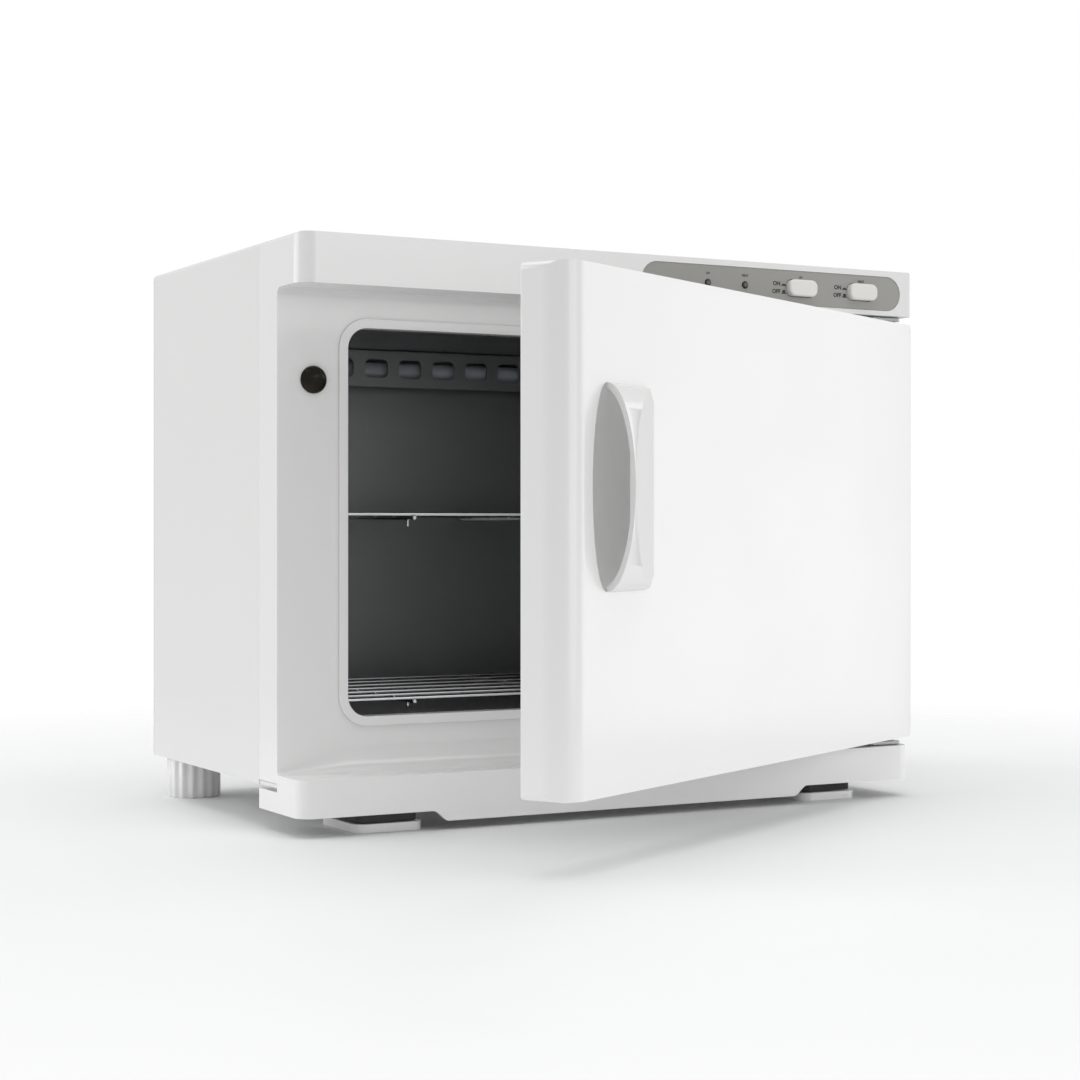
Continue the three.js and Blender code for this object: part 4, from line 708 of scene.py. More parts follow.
def make_finishes(colours):
    """Every finish of the cabinet."""
    grain = grain_group()
    streaks = streak_group()
    for name, (colour, *values) in GRAINED.items():
        material = grained(name, tuple(getattr(colours, colour)), values[0], grain, *values[1:])
        for socket, value in SHEEN.get(name, {}).items():
            material.node_tree.nodes["Principled BSDF"].inputs[socket].default_value = value
    for name, (colour, *values) in BRUSHED.items():
        brushed(name, tuple(getattr(colours, colour)), values[0], streaks, *values[1:])
    lens_finish("lens_dark", tuple(colours.lens), grain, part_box("uv_indicator")[0].y)
    glass_finish("lamp_glass", tuple(colours.glass), grain)


# ---- The fixed pieces ----


def opening_box():
    """The chamber opening's limits along x and z, from the ring round it."""
    sizes = bpy.context.scene.cabinet_sizes
    low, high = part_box("opening_trim")
    flange = sizes.trim_flange
    return (low.x + flange, high.x - flange), (low.z + flange, high.z - flange)


def grown(limits, margin):
    """Limits pushed out by a margin at both ends."""
    return limits[0] - margin, limits[1] + margin


def button_limits(node):
    """A button cap's limits along x and z."""
    xs, _, zs = spans(node)
    return xs, zs


def skirt_end_cutter(side, sizes):
    """What is cut away under one end of the skirt, with the S-curve down to the middle."""
    low_z = FRONT_LOW.z
    outer = LEFT - REACH if side < 0 else RIGHT + REACH
    edge = LEFT if side < 0 else RIGHT
    start = edge - side * sizes.skirt_end_length
    end = start - side * sizes.skirt_step_length
    xs = sorted((outer, end))
    top = sizes.skirt_end_bottom
    cutter = block("skirt_cutter", xs, (FRONT - REACH, FRONT_HIGH.y + REACH), (low_z - REACH, top))
    steps = 20
    length = sizes.skirt_step_length
    for i in range(steps):
        x = start - side * length * i / steps
        pick(cutter, "FACE", lambda points: True)
        bpy.ops.mesh.bisect(plane_co=(x, 0, 0), plane_no=(1, 0, 0))
        clear()
    for i in range(steps + 1):
        x = start - side * length * i / steps
        share = i / steps
        drop = (top - low_z) * share * share * (3 - 2 * share)
        upper = is_at(Z, top)
        pick(cutter, "VERT", lambda points: upper(points) and abs(points[0].x - x) < NEAR)
        bpy.ops.transform.translate(value=(0, 0, -drop - (NEAR if i == steps else 0)))
        clear()
    return cutter


def fading_cove(cutter, recess_y, sizes):
    """Shrinks the floor cove of the recess to a small radius towards the free end."""
    start, end = LEFT + 4 * MM, LEFT + sizes.cove_fade
    for x in (start, end):
        pick(cutter, "FACE", lambda points: True)
        bpy.ops.mesh.bisect(plane_co=(x, 0, 0), plane_no=(1, 0, 0))
        clear()
    reach = sizes.floor_cove + NEAR

    def in_cove(points):
        spot = points[0]
        near_corner = recess_y - spot.y < reach and spot.z - SKIRT_TOP < reach
        return near_corner and spot.x < start + NEAR

    pick(cutter, "VERT", in_cove)
    ratio = sizes.hinge_cove / sizes.floor_cove
    corner = (start, recess_y, SKIRT_TOP)
    bpy.ops.transform.resize(value=(1, ratio, ratio), center_override=corner)
    clear()
    pick(cutter, "FACE", lambda points: True)
    bpy.ops.mesh.quads_convert_to_tris()
    clear()
    return cutter


def build_front(sizes):
    """Fascia, columns, recess face and skirt, moulded in one."""
    back = FRONT_HIGH.y
    recess_y = FRONT + sizes.recess
    face_back = recess_y + sizes.wall
    width = (LEFT, RIGHT)
    middle = (SKIRT_TOP + FASCIA_BOTTOM) / 2
    left, right, low = sizes.left_radius, sizes.right_radius, sizes.skirt_radius
    depth = (FRONT, back)
    piece = rounded_block("front_moulding", Z, width, depth, (middle, TOP), [left, right, 0, 0], 20)
    corner = sizes.case_corner
    outline = (FRONT - REACH, back + REACH)
    mould_zs = (middle - REACH, TOP)
    mould = rounded_block("mould", Y, width, outline, mould_zs, [0, 0, corner, corner], 8)
    keep_inside(piece, mould)
    skirt = rounded_block("skirt", Z, width, depth, (FRONT_LOW.z, middle), [low, low, 0, 0], 20)
    cut_out(skirt, skirt_end_cutter(-1, sizes), skirt_end_cutter(1, sizes))
    join_on(piece, skirt)
    across = grown(width, REACH)
    open_depth = (FRONT - REACH, recess_y)
    open_zs = (SKIRT_TOP, FASCIA_BOTTOM)
    coves = [0, sizes.floor_cove, sizes.top_cove, 0]
    hinge_coves = [0, sizes.hinge_cove, sizes.top_cove, 0]
    hinge_end = (RIGHT - sizes.hinge_cove_length, across[1])
    cut_out(
        piece,
        fading_cove(
            rounded_block("door_recess", X, across, open_depth, open_zs, coves, 16), recess_y, sizes
        ),
        rounded_block("hinge_recess", X, hinge_end, open_depth, open_zs, hinge_coves, 8),
    )

    wall = sizes.wall
    inner = (LEFT + wall, RIGHT - wall)
    open_xs, open_zs = opening_box()
    hole = 2.6 * MM
    panel_low, panel_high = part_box("control_panel")
    panel_xs = grown((panel_low.x, panel_high.x), SEAM)
    panel_zs = grown((panel_low.z, panel_high.z), SEAM)
    panel_radius = (panel_zs[1] - panel_zs[0]) / 2 - NEAR
    panel_floor = panel_high.y + SEAM
    catch_low, catch_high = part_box("magnet_catch")
    catch_at = (catch_low + catch_high) / 2
    stem_radius = (catch_high.z - catch_low.z) / 4
    catch_start = (catch_at.x, recess_y - REACH / 2, catch_at.z)
    catch_hole = drill(stem_radius + SEAM, catch_start, wall + REACH)
    cut_out(
        piece,
        block("hollow", inner, (face_back, back + REACH), (FRONT_LOW.z - REACH, TOP - wall)),
        rounded_block(
            "hollow",
            Z,
            inner,
            (FRONT + wall, back + REACH),
            (FASCIA_BOTTOM + wall, TOP - wall),
            [max(left - wall, 0), 0, 0, 0],
            8,
        ),
        rounded_block(
            "hollow",
            Z,
            inner,
            (FRONT + wall, back + REACH),
            (FRONT_LOW.z - REACH, SKIRT_TOP - wall),
            [low - wall, low - wall, 0, 0],
            8,
        ),
        block("slot", across, (recess_y, back + REACH), (sizes.rail_top, sizes.column_bottom)),
        even_block(
            "trim_hole",
            Y,
            grown(open_xs, hole),
            (recess_y - REACH, face_back + REACH),
            grown(open_zs, hole),
            sizes.opening_radius + hole,
            12,
        ),
        even_block(
            "panel_recess", Y, panel_xs, (FRONT - REACH, panel_floor), panel_zs, panel_radius, 20
        ),
        catch_hole,
        *control_holes(FRONT - REACH, FRONT + wall + REACH / 2),
    )
    soften(piece, sizes.edge)
    return hand_over(piece, "cabinet", "gloss_white", "front_frame")


def control_holes(y0, y1, clearance=0.4 * MM):
    """Cutters for the two buttons and the two lenses."""
    cutters = []
    for name in ("uv", "heat"):
        xs, zs = button_limits(f"{name}_button")
        radius = BUTTON_RADIUS + clearance
        hole_xs, hole_zs = grown(xs, clearance), grown(zs, clearance)
        cutters.append(even_block("hole", Y, hole_xs, (y0, y1), hole_zs, radius, 8))
        lens_at, lens_radius = lens_place(name)
        start = (lens_at.x, y0, lens_at.z)
        cutters.append(drill(lens_radius + SEAM, start, y1 - y0))
    return cutters


def lens_place(name):
    """Middle of an indicator and the radius of its lens, inside the collar."""
    low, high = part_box(f"{name}_indicator")
    collar = 1 * MM
    return (low + high) / 2, (high.x - low.x) / 2 - collar


def build_case(sizes):
    """Steel wrap over the top and sides."""
    sheet = sizes.sheet
    lip = 12 * MM
    corner = sizes.case_corner
    xs, ys, zs = spans("outer_case")
    piece = rounded_block("case_wrap", Y, xs, ys, zs, [0, 0, corner, corner], 12)
    inner_corner = corner - sheet
    inside = rounded_block(
        "inside",
        Y,
        grown(xs, -sheet),
        (ys[0] - REACH, ys[1] - sheet),
        grown(zs, -sheet),
        [0, 0, inner_corner, inner_corner],
        12,
    )
    back_hole = even_block(
        "hole", Y, grown(xs, -lip), (ys[1] - REACH, ys[1] + REACH), grown(zs, -lip), 3 * MM, 6
    )
    bottom_hole = block(
        "hole", grown(xs, -lip), (ys[0] - REACH, ys[1] + REACH), (zs[0] - REACH, zs[0] + lip / 2)
    )
    cut_out(piece, inside, back_hole, bottom_hole, *screw_holes(ys[1] - REACH, ys[1] + REACH))
    soften(piece, sizes.sheet_edge, 2)
    return hand_over(piece, "cabinet", "case_enamel", "outer_case")


SCREWS = [f"back_screw_{end}_{side}" for end in ("top", "bottom") for side in ("left", "right")]


def screw_holes(y0, y1):
    """Cutters for the four screws of the back panel."""
    radius = 2.1 * MM
    cutters = []
    for name in SCREWS:
        xs, _, zs = spans(name)
        cutters.append(drill(radius, (sum(xs) / 2, y0, sum(zs) / 2), y1 - y0, sides=24))
    return cutters


def build_back(sizes):
    """Back panel with cooling slots, and the four screws that hold it."""
    corner = sizes.case_corner
    xs, ys, zs = spans("back_panel")
    piece = rounded_block("rear_panel", Y, xs, ys, zs, [0, 0, corner, corner], 12)
    slots, pitch, width, tall, drop = 9, 13 * MM, 4 * MM, 34 * MM, 36 * MM
    through = (ys[0] - REACH, ys[1] + REACH)
    first = MIDDLE_X - (slots - 1) / 2 * pitch
    top = zs[1] - drop
    slot = even_block(
        "slot",
        Y,
        (first - width / 2, first + width / 2),
        through,
        (top - tall, top),
        width / 2 - NEAR,
        6,
    )
    cutters = [slot] + [copy_of(slot, "slot", (i * pitch, 0, 0)) for i in range(1, slots)]
    gland_xs, _, gland_zs = spans("cord_gland")
    start = (sum(gland_xs) / 2, ys[0] - REACH, sum(gland_zs) / 2)
    hole = drill(GLAND_BARREL + SEAM, start, 2 * REACH, sides=40)
    cut_out(piece, *cutters, hole, *screw_holes(*through))
    soften(piece, sizes.sheet_edge, 2)
    hand_over(piece, "cabinet", "case_enamel", "back_panel")
    build_screws()


def build_screws():
    """Pan-head screws with a cross recess."""
    low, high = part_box(SCREWS[0])
    radius = (high.x - low.x) / 2
    head = 2 * MM
    shank = 1.7 * MM
    length = high.y - low.y
    profile = [
        (radius * 0.45, 0),
        (radius * 0.75, head * 0.1),
        (radius * 0.93, head * 0.35),
        (radius, head * 0.75),
        (radius, head),
        (shank, head),
        (shank, length - shank),
        (shank * 0.4, length),
    ]
    at = Vector(((low.x + high.x) / 2, high.y, (low.z + high.z) / 2))
    screw = turned("screw", profile, at, (0, -1, 0), 28)
    arm, slot = radius * 0.55, radius * 0.11
    depth = (at.y - head * 0.6, at.y + REACH)
    cut_out(
        screw,
        block("cross", (at.x - arm, at.x + arm), depth, (at.z - slot, at.z + slot)),
        block("cross", (at.x - slot, at.x + slot), depth, (at.z - arm, at.z + arm)),
    )
    shade(screw)
    for name in SCREWS:
        here_low, here_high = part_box(name)
        move = (here_low + here_high) / 2 - (low + high) / 2
        piece = copy_of(screw, f"panel_{name[5:]}", move)
        hand_over(piece, "cabinet", "zinc_steel", name)
    bpy.data.objects.remove(screw, do_unlink=True)


def build_ring(sizes):
    """Ring round the chamber opening."""
    low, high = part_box("opening_trim")
    xs, zs = opening_box()
    radius = sizes.opening_radius
    flange = sizes.trim_flange
    piece = even_block(
        "opening_ring",
        Y,
        (low.x, high.x),
        (low.y, low.y + sizes.trim_thickness),
        (low.z, high.z),
        radius + flange,
        16,
    )
    wall = 2.2 * MM
    sleeve_front = low.y + sizes.trim_thickness / 2
    sleeve = even_block(
        "sleeve", Y, grown(xs, wall), (sleeve_front, high.y), grown(zs, wall), radius + wall, 16
    )
    join_on(piece, sleeve)
    cut_out(piece, even_block("hole", Y, xs, (low.y - REACH, high.y + REACH), zs, radius, 16))
    soften(piece, 0.4 * MM, 3)
    return hand_over(piece, "cabinet", "gloss_white", "opening_trim")


def build_chamber(sizes):
    """Aluminium chamber with bent corners and a flange at the front."""
    low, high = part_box("chamber_liner")
    sheet = sizes.sheet
    flange = 8 * MM - sheet
    radius = sizes.chamber_radius
    xs, ys, zs = (low.x + flange, high.x - flange), (low.y, high.y), (low.z + flange, high.z - flange)
    piece = even_block("warming_chamber", Y, xs, ys, zs, radius + sheet, 10)
    round_rim(piece, ys[1], 2 * MM, 4)
    front = even_block(
        "flange", Y, (low.x, high.x), (low.y, low.y + sheet), (low.z, high.z), radius + 8 * MM, 10
    )
    join_on(piece, front)
    inside = even_block(
        "inside", Y, grown(xs, -sheet), (ys[0] - REACH, ys[1] - sheet), grown(zs, -sheet), radius, 10
    )
    round_rim(inside, ys[1] - sheet, 1.5 * MM, 4)
    cut_out(piece, inside)
    soften(piece, sizes.sheet_edge, 2)
    # Its dark aluminium is painted shade.
    return hand_over(piece, "cabinet", "chamber_aluminium", "chamber_liner")


def build_ledges(sizes):
    """Four angle ledges that the racks slide on."""
    sheet = sizes.sheet
    for level in ("lower", "upper"):
        for side, name in ((-1, "left"), (1, "right")):
            node = f"rack_ledge_{level}_{name}"
            xs, ys, zs = spans(node)
            bend = 0.9 * MM
            radii = [bend, 0, 0, 0] if side < 0 else [0, bend, 0, 0]
            piece = rounded_block(f"chamber_ledge_{level}_{name}", Y, xs, ys, zs, radii, 5)
            hollow_xs = (xs[0] + sheet, xs[1] + REACH) if side < 0 else (xs[0] - REACH, xs[1] - sheet)
            hollow_zs = (zs[0] + sheet, zs[1] + REACH)
            cut_out(piece, block("hollow", hollow_xs, grown(ys, REACH), hollow_zs))
            soften(piece, sizes.sheet_edge, 2)
            hand_over(piece, "cabinet", "chamber_aluminium", node)


def build_rack(sizes):
    """Two wire racks: cross wires welded on bearers with ball tips and bent stop legs."""
    low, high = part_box("rack_lower")
    wire_z = high.z - sizes.wire
    bearer_z = wire_z - sizes.wire - sizes.bearer + SEAM
    tip_y = low.y + sizes.tip
    front_wire = tip_y + sizes.tip_ahead
    back = high.y
    first = rod("wire", (low.x, front_wire, wire_z), (high.x, front_wire, wire_z), sizes.wire)
    wires = [first]
    count = int((back - front_wire) / sizes.pitch) + 1
    for i in range(1, count):
        wires.append(copy_of(first, "wire", (0, i * sizes.pitch, 0)))
    middle = (low.x + high.x) / 2
    for i in (-1, 0, 1):
        x = middle + i * sizes.bearer_pitch
        bearer = rod("bearer", (x, tip_y, bearer_z), (x, back, bearer_z), sizes.bearer, 16)
        clear()
        bpy.ops.mesh.primitive_uv_sphere_add(
            segments=20, ring_count=12, radius=sizes.tip, location=(x, tip_y, bearer_z)
        )
        tip = settle(bpy.context.object)
        leg_y = tip_y + sizes.leg_set_back
        leg = rod("leg", (x, leg_y, bearer_z), (x, leg_y, low.z), sizes.wire, 14, 0.8)
        wires += [bearer, tip, leg]
    rack = merge(wires, "wire_rack_lower")
    take(rack)
    bpy.ops.object.shade_smooth_by_angle(angle=math.radians(40))
    upper_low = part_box("rack_upper")[0]
    upper = copy_of(rack, "wire_rack_upper", (0, 0, upper_low.z - low.z))
    hand_over(rack, "rack_lower", "rack_chrome", "rack_lower")
    hand_over(upper, "rack_upper", "rack_chrome", "rack_upper")


def build_panel():
    """Grey overlay on the fascia."""
    xs, ys, zs = spans("control_panel")
    radius = (zs[1] - zs[0]) / 2 - NEAR
    piece = even_block("control_overlay", Y, xs, ys, zs, radius, 20)
    cut_out(piece, *control_holes(*grown(ys, REACH)))
    soften(piece, 0.15 * MM, 2)
    hand_over(piece, "cabinet", "panel_grey", "control_panel")
    build_printing(ys[0])


def word(text, height, x, z, surface_y, align="CENTER", bold=0.09 * MM):
    """A printed word as a thin raised mesh on the panel."""
    clear()
    bpy.ops.object.text_add(location=(x, surface_y + 0.02 * MM, z), rotation=(math.pi / 2, 0, 0))
    piece = bpy.context.object
    piece.data.body = text
    piece.data.size = height * 1.42
    piece.data.align_x = align
    piece.data.align_y = "CENTER"
    piece.data.offset = bold
    piece.data.extrude = 0.05 * MM
    piece.data.resolution_u = 4
    bpy.ops.object.convert(target="MESH")
    return settle(bpy.context.object)


def press_mark(x, z, surface_y, stem):
    """A small mark beside a word: a button seen from the side, pressed in or standing out."""
    ys = (surface_y - 0.03 * MM, surface_y + 0.02 * MM)
    half, bar = 1.95 * MM, 0.7 * MM
    pieces = [block("mark", (x - half, x + half), ys, (z - bar, z))]
    tall = 2.6 * MM if stem else 1.5 * MM
    cap = block("mark", (x - half * 0.6, x + half * 0.6), ys, (z - NEAR, z + tall - bar))
    for side in (-1, 1):
        round_edge(cap, Y, (x + side * half * 0.6, 0, z + tall - bar), 0.5 * MM, 3)
    return pieces + [cap]


def build_printing(surface_y):
    """Generic lettering: what each lamp and button is for, and how a button stands when on or off."""
    pieces = []
    for name in ("uv", "heat"):
        lens_at, _ = lens_place(name)
        pieces.append(word(name.upper(), 1.5 * MM, lens_at.x, lens_at.z + 6.1 * MM, surface_y))
        xs, zs = button_limits(f"{name}_button")
        middle_x, middle_z = sum(xs) / 2, sum(zs) / 2
        pieces.append(word(name.upper(), 1.5 * MM, middle_x, zs[1] + 1.7 * MM, surface_y))
        mark_x = xs[0] - 2.4 * MM
        word_x = mark_x - 2.7 * MM
        for text, step, stem in (("ON", 2.3 * MM, False), ("OFF", -2.9 * MM, True)):
            ink = word(text, 2.6 * MM, word_x, middle_z + step, surface_y, "RIGHT", 0.16 * MM)
            pieces.append(ink)
            pieces += press_mark(mark_x, middle_z + step - 0.6 * MM, surface_y, stem)
    printing = merge(pieces, "panel_printing")
    hand_over(printing, "cabinet", "lens_dark", finish="panel_ink")


def build_buttons(sizes):
    """Two push buttons and their dark lamp lenses."""
    for name in ("uv", "heat"):
        node = f"{name}_button"
        low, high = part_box(node)
        stem_start = FRONT + sizes.wall + 3 * MM
        xs, zs = (low.x, high.x), (low.z, high.z)
        cap = even_block(f"{name}_push_cap", Y, xs, (low.y, stem_start), zs, BUTTON_RADIUS, 10)
        round_rim(cap, low.y, 1.3 * MM, 5)
        middle_x, middle_z = sum(xs) / 2, sum(zs) / 2
        stem = block(
            "stem",
            (middle_x - 4 * MM, middle_x + 4 * MM),
            (stem_start - 1 * MM, high.y),
            (middle_z - 3 * MM, middle_z + 3 * MM),
        )
        join_on(cap, stem)
        shade(clean(cap))
        hand_over(cap, f"{name}_button", "button_white", node)

        lens_at, radius = lens_place(name)
        low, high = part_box(f"{name}_indicator")
        collar_y = FRONT + sizes.wall + SEAM - low.y
        length = high.y - low.y
        rise = 0.8 * MM
        profile = dome(radius, rise, 8) + [
            (radius, collar_y),
            (radius + 1 * MM, collar_y),
            (radius + 1 * MM, collar_y + 1 * MM),
            (radius, collar_y + 1 * MM),
            (radius, length),
        ]
        lens = turned(f"{name}_lamp_lens", profile, (lens_at.x, low.y, lens_at.z), (0, 1, 0), 40)
        shade(lens)
        hand_over(lens, "cabinet", "lens_dark", f"{name}_indicator")


def build_catch(sizes):
    """Domed magnetic catch on the recess face."""
    low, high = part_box("magnet_catch")
    radius = (high.x - low.x) / 2
    seat = FRONT + sizes.recess - SEAM - low.y
    length = high.y - low.y
    profile = dome(radius, seat, 16)
    profile += [(radius / 2, seat), (radius / 2, length)]
    at = ((low.x + high.x) / 2, low.y, (low.z + high.z) / 2)
    piece = turned("catch_dome", profile, at, (0, 1, 0), 64)
    shade(piece)
    return hand_over(piece, "cabinet", "magnet_dark", "magnet_catch", finish="catch_dark")


def build_hinges():
    """Hinge plates and their pins."""
    for end in ("top", "bottom"):
        pin_low, pin_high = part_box(f"hinge_pin_{end}")
        radius = (pin_high.x - pin_low.x) / 2
        at = (pin_low + pin_high) / 2
        pin = rod(
            f"door_pin_{end}", (at.x, at.y, pin_low.z), (at.x, at.y, pin_high.z), radius, 32, 0.25
        )
        shade(pin)
        hand_over(pin, "cabinet", "zinc_steel", f"hinge_pin_{end}")
        xs, ys, zs = spans(f"hinge_bracket_{end}")
        plate = even_block(f"hinge_plate_{end}", Z, xs, ys, zs, 3 * MM, 8)
        start = (at.x, at.y, zs[0] - REACH)
        length = zs[1] - zs[0] + 2 * REACH
        cut_out(plate, drill(radius + SEAM, start, length, (0, 0, 1)))
        soften(plate, 0.3 * MM, 2)
        hand_over(plate, "cabinet", "zinc_steel", f"hinge_bracket_{end}")


def build_lamp():
    """Ultraviolet tube, its holders and its slotted guard."""
    low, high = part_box("uv_lamp")
    radius = (high.z - low.z) / 2
    length = high.x - low.x
    cap, step = 12 * MM, 0.5 * MM
    glass = radius - step
    profile = [
        (radius * 0.8, 0),
        (radius, 0.8 * MM),
        (radius, cap),
        (glass, cap + step),
        (glass, length - cap - step),
        (radius, length - cap),
        (radius, length - 0.8 * MM),
        (radius * 0.8, length),
    ]
    at = (low.x, (low.y + high.y) / 2, (low.z + high.z) / 2)
    tube = turned("lamp_tube", profile, at, (1, 0, 0), 40)
    shade(tube)
    hand_over(tube, "cabinet", "lamp_glass", "uv_lamp")
    for side in ("left", "right"):
        node = f"lamp_holder_{side}"
        holder = even_block(f"lamp_socket_{side}", X, *spans(node), 2 * MM, 5)
        socket = radius + SEAM
        start = (low.x - SEAM, at[1], at[2])
        cut_out(holder, drill(socket, start, length + 2 * SEAM, (1, 0, 0), 40))
        soften(holder, 0.4 * MM, 2)
        hand_over(holder, "cabinet", "natural_nylon", node)
    build_guard()


def build_guard():
    """Folded guard with rounded slots, in front of the lamp."""
    low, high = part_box("lamp_guard")
    sheet = 1 * MM
    piece = block("lamp_shield", (low.x, high.x), (low.y, low.y + sheet), (low.z, high.z))
    lip = block("lip", (low.x, high.x), (low.y, high.y), (high.z - sheet, high.z))
    join_on(piece, lip)
    round_edge(piece, X, (0, low.y, high.z), 0.9 * MM, 4)
    count = 9
    pitch = (high.x - low.x) / count
    quarter = (high.z - low.z) / 4
    first = low.x + pitch / 2
    slot = even_block(
        "slot",
        Y,
        (first - pitch / 3, first + pitch / 3),
        (low.y - REACH, low.y + sheet + SEAM),
        (low.z + quarter, high.z - quarter),
        4 * MM,
        6,
    )
    cutters = [slot] + [copy_of(slot, "slot", (i * pitch, 0, 0)) for i in range(1, count)]
    cut_out(piece, *cutters)
    soften(piece, 0.2 * MM, 2)
    return hand_over(piece, "cabinet", "chamber_aluminium", "lamp_guard")


def build_feet(sizes):
    """Front shoes with near-black blocks that stand for the shadow under the skirt, and the fluted rear
    feet.
    """
    front, back, set_in = 9 * MM, 1 * MM, 3 * MM
    radii = [front, front, back, back]
    shoe = rounded_block("foot_shoe_left", Z, *spans("front_foot_left"), radii, 12)
    soften(shoe, sizes.edge, 3)
    other = mirrored(shoe, "foot_shoe_right", MIDDLE_X)
    for piece, side in ((shoe, "left"), (other, "right")):
        node = f"front_foot_{side}"
        hand_over(piece, "cabinet", "gloss_white", node)
    radii = [front - set_in, front - set_in, back, back]
    # Painted shade: these near-black blocks stand for the shadow on the shoes under the skirt
    pad = rounded_block("foot_block_left", Z, *spans("front_foot_pad_left"), radii, 10)
    soften(pad, 0.4 * MM, 2)
    other = mirrored(pad, "foot_block_right", MIDDLE_X)
    for piece, side in ((pad, "left"), (other, "right")):
        node = f"front_foot_pad_{side}"
        hand_over(piece, "cabinet", "foot_rubber", node)
    build_rear_feet()


def build_rear_feet():
    """Fluted rear feet."""
    low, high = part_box("rear_foot_left")
    centre = (low + high) / 2
    radius = (high.x - low.x) / 2
    flutes, sides, depth = 16, 8, 1.2 * MM
    clear()
    bpy.ops.mesh.primitive_circle_add(
        vertices=flutes * sides, radius=radius, fill_type="NGON", location=(centre.x, centre.y, 0)
    )
    foot = settle(bpy.context.object)
    foot.name = "fluted_foot_left"
    for step in range(1, sides):
        drop = depth / 2 * (1 - math.cos(2 * math.pi * step / sides))
        turns = {i for i in range(flutes * sides) if i % sides == step}

        def in_step(points):
            spot = points[0]
            angle = math.atan2(spot.x - centre.x, spot.y - centre.y)
            return round(angle / (2 * math.pi) * flutes * sides) % (flutes * sides) in turns

        pick(foot, "VERT", in_step)
        ratio = (radius - drop) / radius
        bpy.ops.transform.resize(value=(ratio, ratio, 1), center_override=(centre.x, centre.y, 0))
        clear()
    rim = 0.8 * MM
    pick(foot, "FACE", lambda points: True)
    inner = (radius - rim) / radius
    middle = (centre.x, centre.y, 0)
    bpy.ops.transform.resize(value=(inner, inner, 1), center_override=middle)
    for lift, ratio in ((rim, 1 / inner), (high.z - 2 * rim, 1), (rim, inner)):
        bpy.ops.mesh.extrude_region_move(TRANSFORM_OT_translate={"value": (0, 0, lift)})
        bpy.ops.transform.resize(value=(ratio, ratio, 1), center_override=middle)
    bpy.ops.mesh.select_all(action="SELECT")
    bpy.ops.mesh.normals_make_consistent(inside=False)
    clear()
    take(foot)
    bpy.ops.object.shade_smooth_by_angle(angle=math.radians(46))
    other = mirrored(foot, "fluted_foot_right", MIDDLE_X)
    for piece, side in ((foot, "left"), (other, "right")):
        node = f"rear_foot_{side}"
        hand_over(piece, "cabinet", "gloss_white", node)


def build_gland():
    """Cord gland in the back panel, open right through."""
    low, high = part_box("cord_gland")
    at = (low + high) / 2
    length = high.y - low.y
    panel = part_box("back_panel")[1].y - low.y
    barrel, bore = GLAND_BARREL, 3.6 * MM
    flange = (high.x - low.x) / 2
    profile = [
        (barrel - 0.8 * MM, 0),
        (barrel, 0.8 * MM),
        (barrel, panel + SEAM),
        (flange - 0.5 * MM, panel + SEAM),
        (flange, panel + SEAM + 0.5 * MM),
        (flange, panel + SEAM + 2 * MM),
        (flange - 0.7 * MM, panel + SEAM + 2.7 * MM),
        (barrel - 0.2 * MM, length - 1.4 * MM),
        (barrel - 1 * MM, length),
    ]
    piece = turned("cord_entry", profile, (at.x, low.y, at.z), (0, 1, 0), 48)
    start = (at.x, low.y - REACH, at.z)
    cut_out(piece, drill(bore, start, length + 2 * REACH, sides=40))
    shade(clean(piece))
    return hand_over(piece, "cabinet", "black_plastic", "cord_gland")


# ---- The door, modelled shut and turned open ----


def pocket_scoop(sizes, grow=0.0):
    """The finger pocket as a scooped solid: narrow on the open side, wide under the hood."""
    low, high = shut_box("door_handle")
    face = shut_box("door_shell")[0].y
    edge_x = low.x
    middle_z = (low.z + high.z) / 2
    half = (high.z - low.z) / 2
    clear()
    bpy.ops.mesh.primitive_uv_sphere_add(
        segments=96, ring_count=48, radius=1, location=(edge_x, face, middle_z)
    )
    scoop = settle(bpy.context.object)
    scoop.name = "scoop"
    deep = sizes.pocket_depth + grow
    tall = half + grow
    centre = (edge_x, face, middle_z)
    pick(scoop, "VERT", lambda points: True)
    bpy.ops.transform.resize(value=(1, deep, tall), center_override=centre)
    clear()
    for side, reach in ((-1, sizes.pocket_bulge + grow), (1, sizes.pocket_undercut + grow)):
        pick(scoop, "VERT", lambda points: side * (points[0].x - edge_x) > NEAR)
        bpy.ops.transform.resize(value=(reach, 1, 1), center_override=centre)
        clear()
    return scoop


def door_plan(name, low, high, inset, sizes):
    """The door as a block rounded in plan and seen from the front."""
    back = 0 if inset else sizes.back_radius
    free_back = 0 if inset else 1 * MM
    xs = (low.x + inset, high.x - inset)
    ys = (low.y + inset, high.y + (REACH if inset else 0))
    zs = (low.z + inset, high.z - inset)
    radii = [sizes.free_radius - inset, max(sizes.hinge_radius - inset, 0), back, free_back]
    plan = rounded_block(name, Z, xs, ys, zs, radii, 24)
    face_radius = max(sizes.face_radius - inset, 0.5 * MM)
    face = even_block("face", Y, xs, (ys[0] - REACH, ys[1] + REACH), zs, face_radius, 10)
    return keep_inside(plan, face)


def pocket_faces(piece, sizes):
    """The numbers of the faces that line the finger pocket."""
    low, high = shut_box("door_handle")
    face = shut_box("door_shell")[0].y
    middle_z = (low.z + high.z) / 2
    half = (high.z - low.z) / 2
    inside = []
    for polygon in piece.data.polygons:
        at = polygon.center
        reach = sizes.pocket_bulge if at.x < low.x else sizes.pocket_undercut
        across = (at.x - low.x) / reach
        inward = (at.y - face) / sizes.pocket_depth
        along = (at.z - middle_z) / half
        if inward > 0.01 and across**2 + inward**2 + along**2 < 1.01:
            inside.append(polygon.index)
    if not inside:
        raise RuntimeError("the finger pocket has no faces")
    return inside


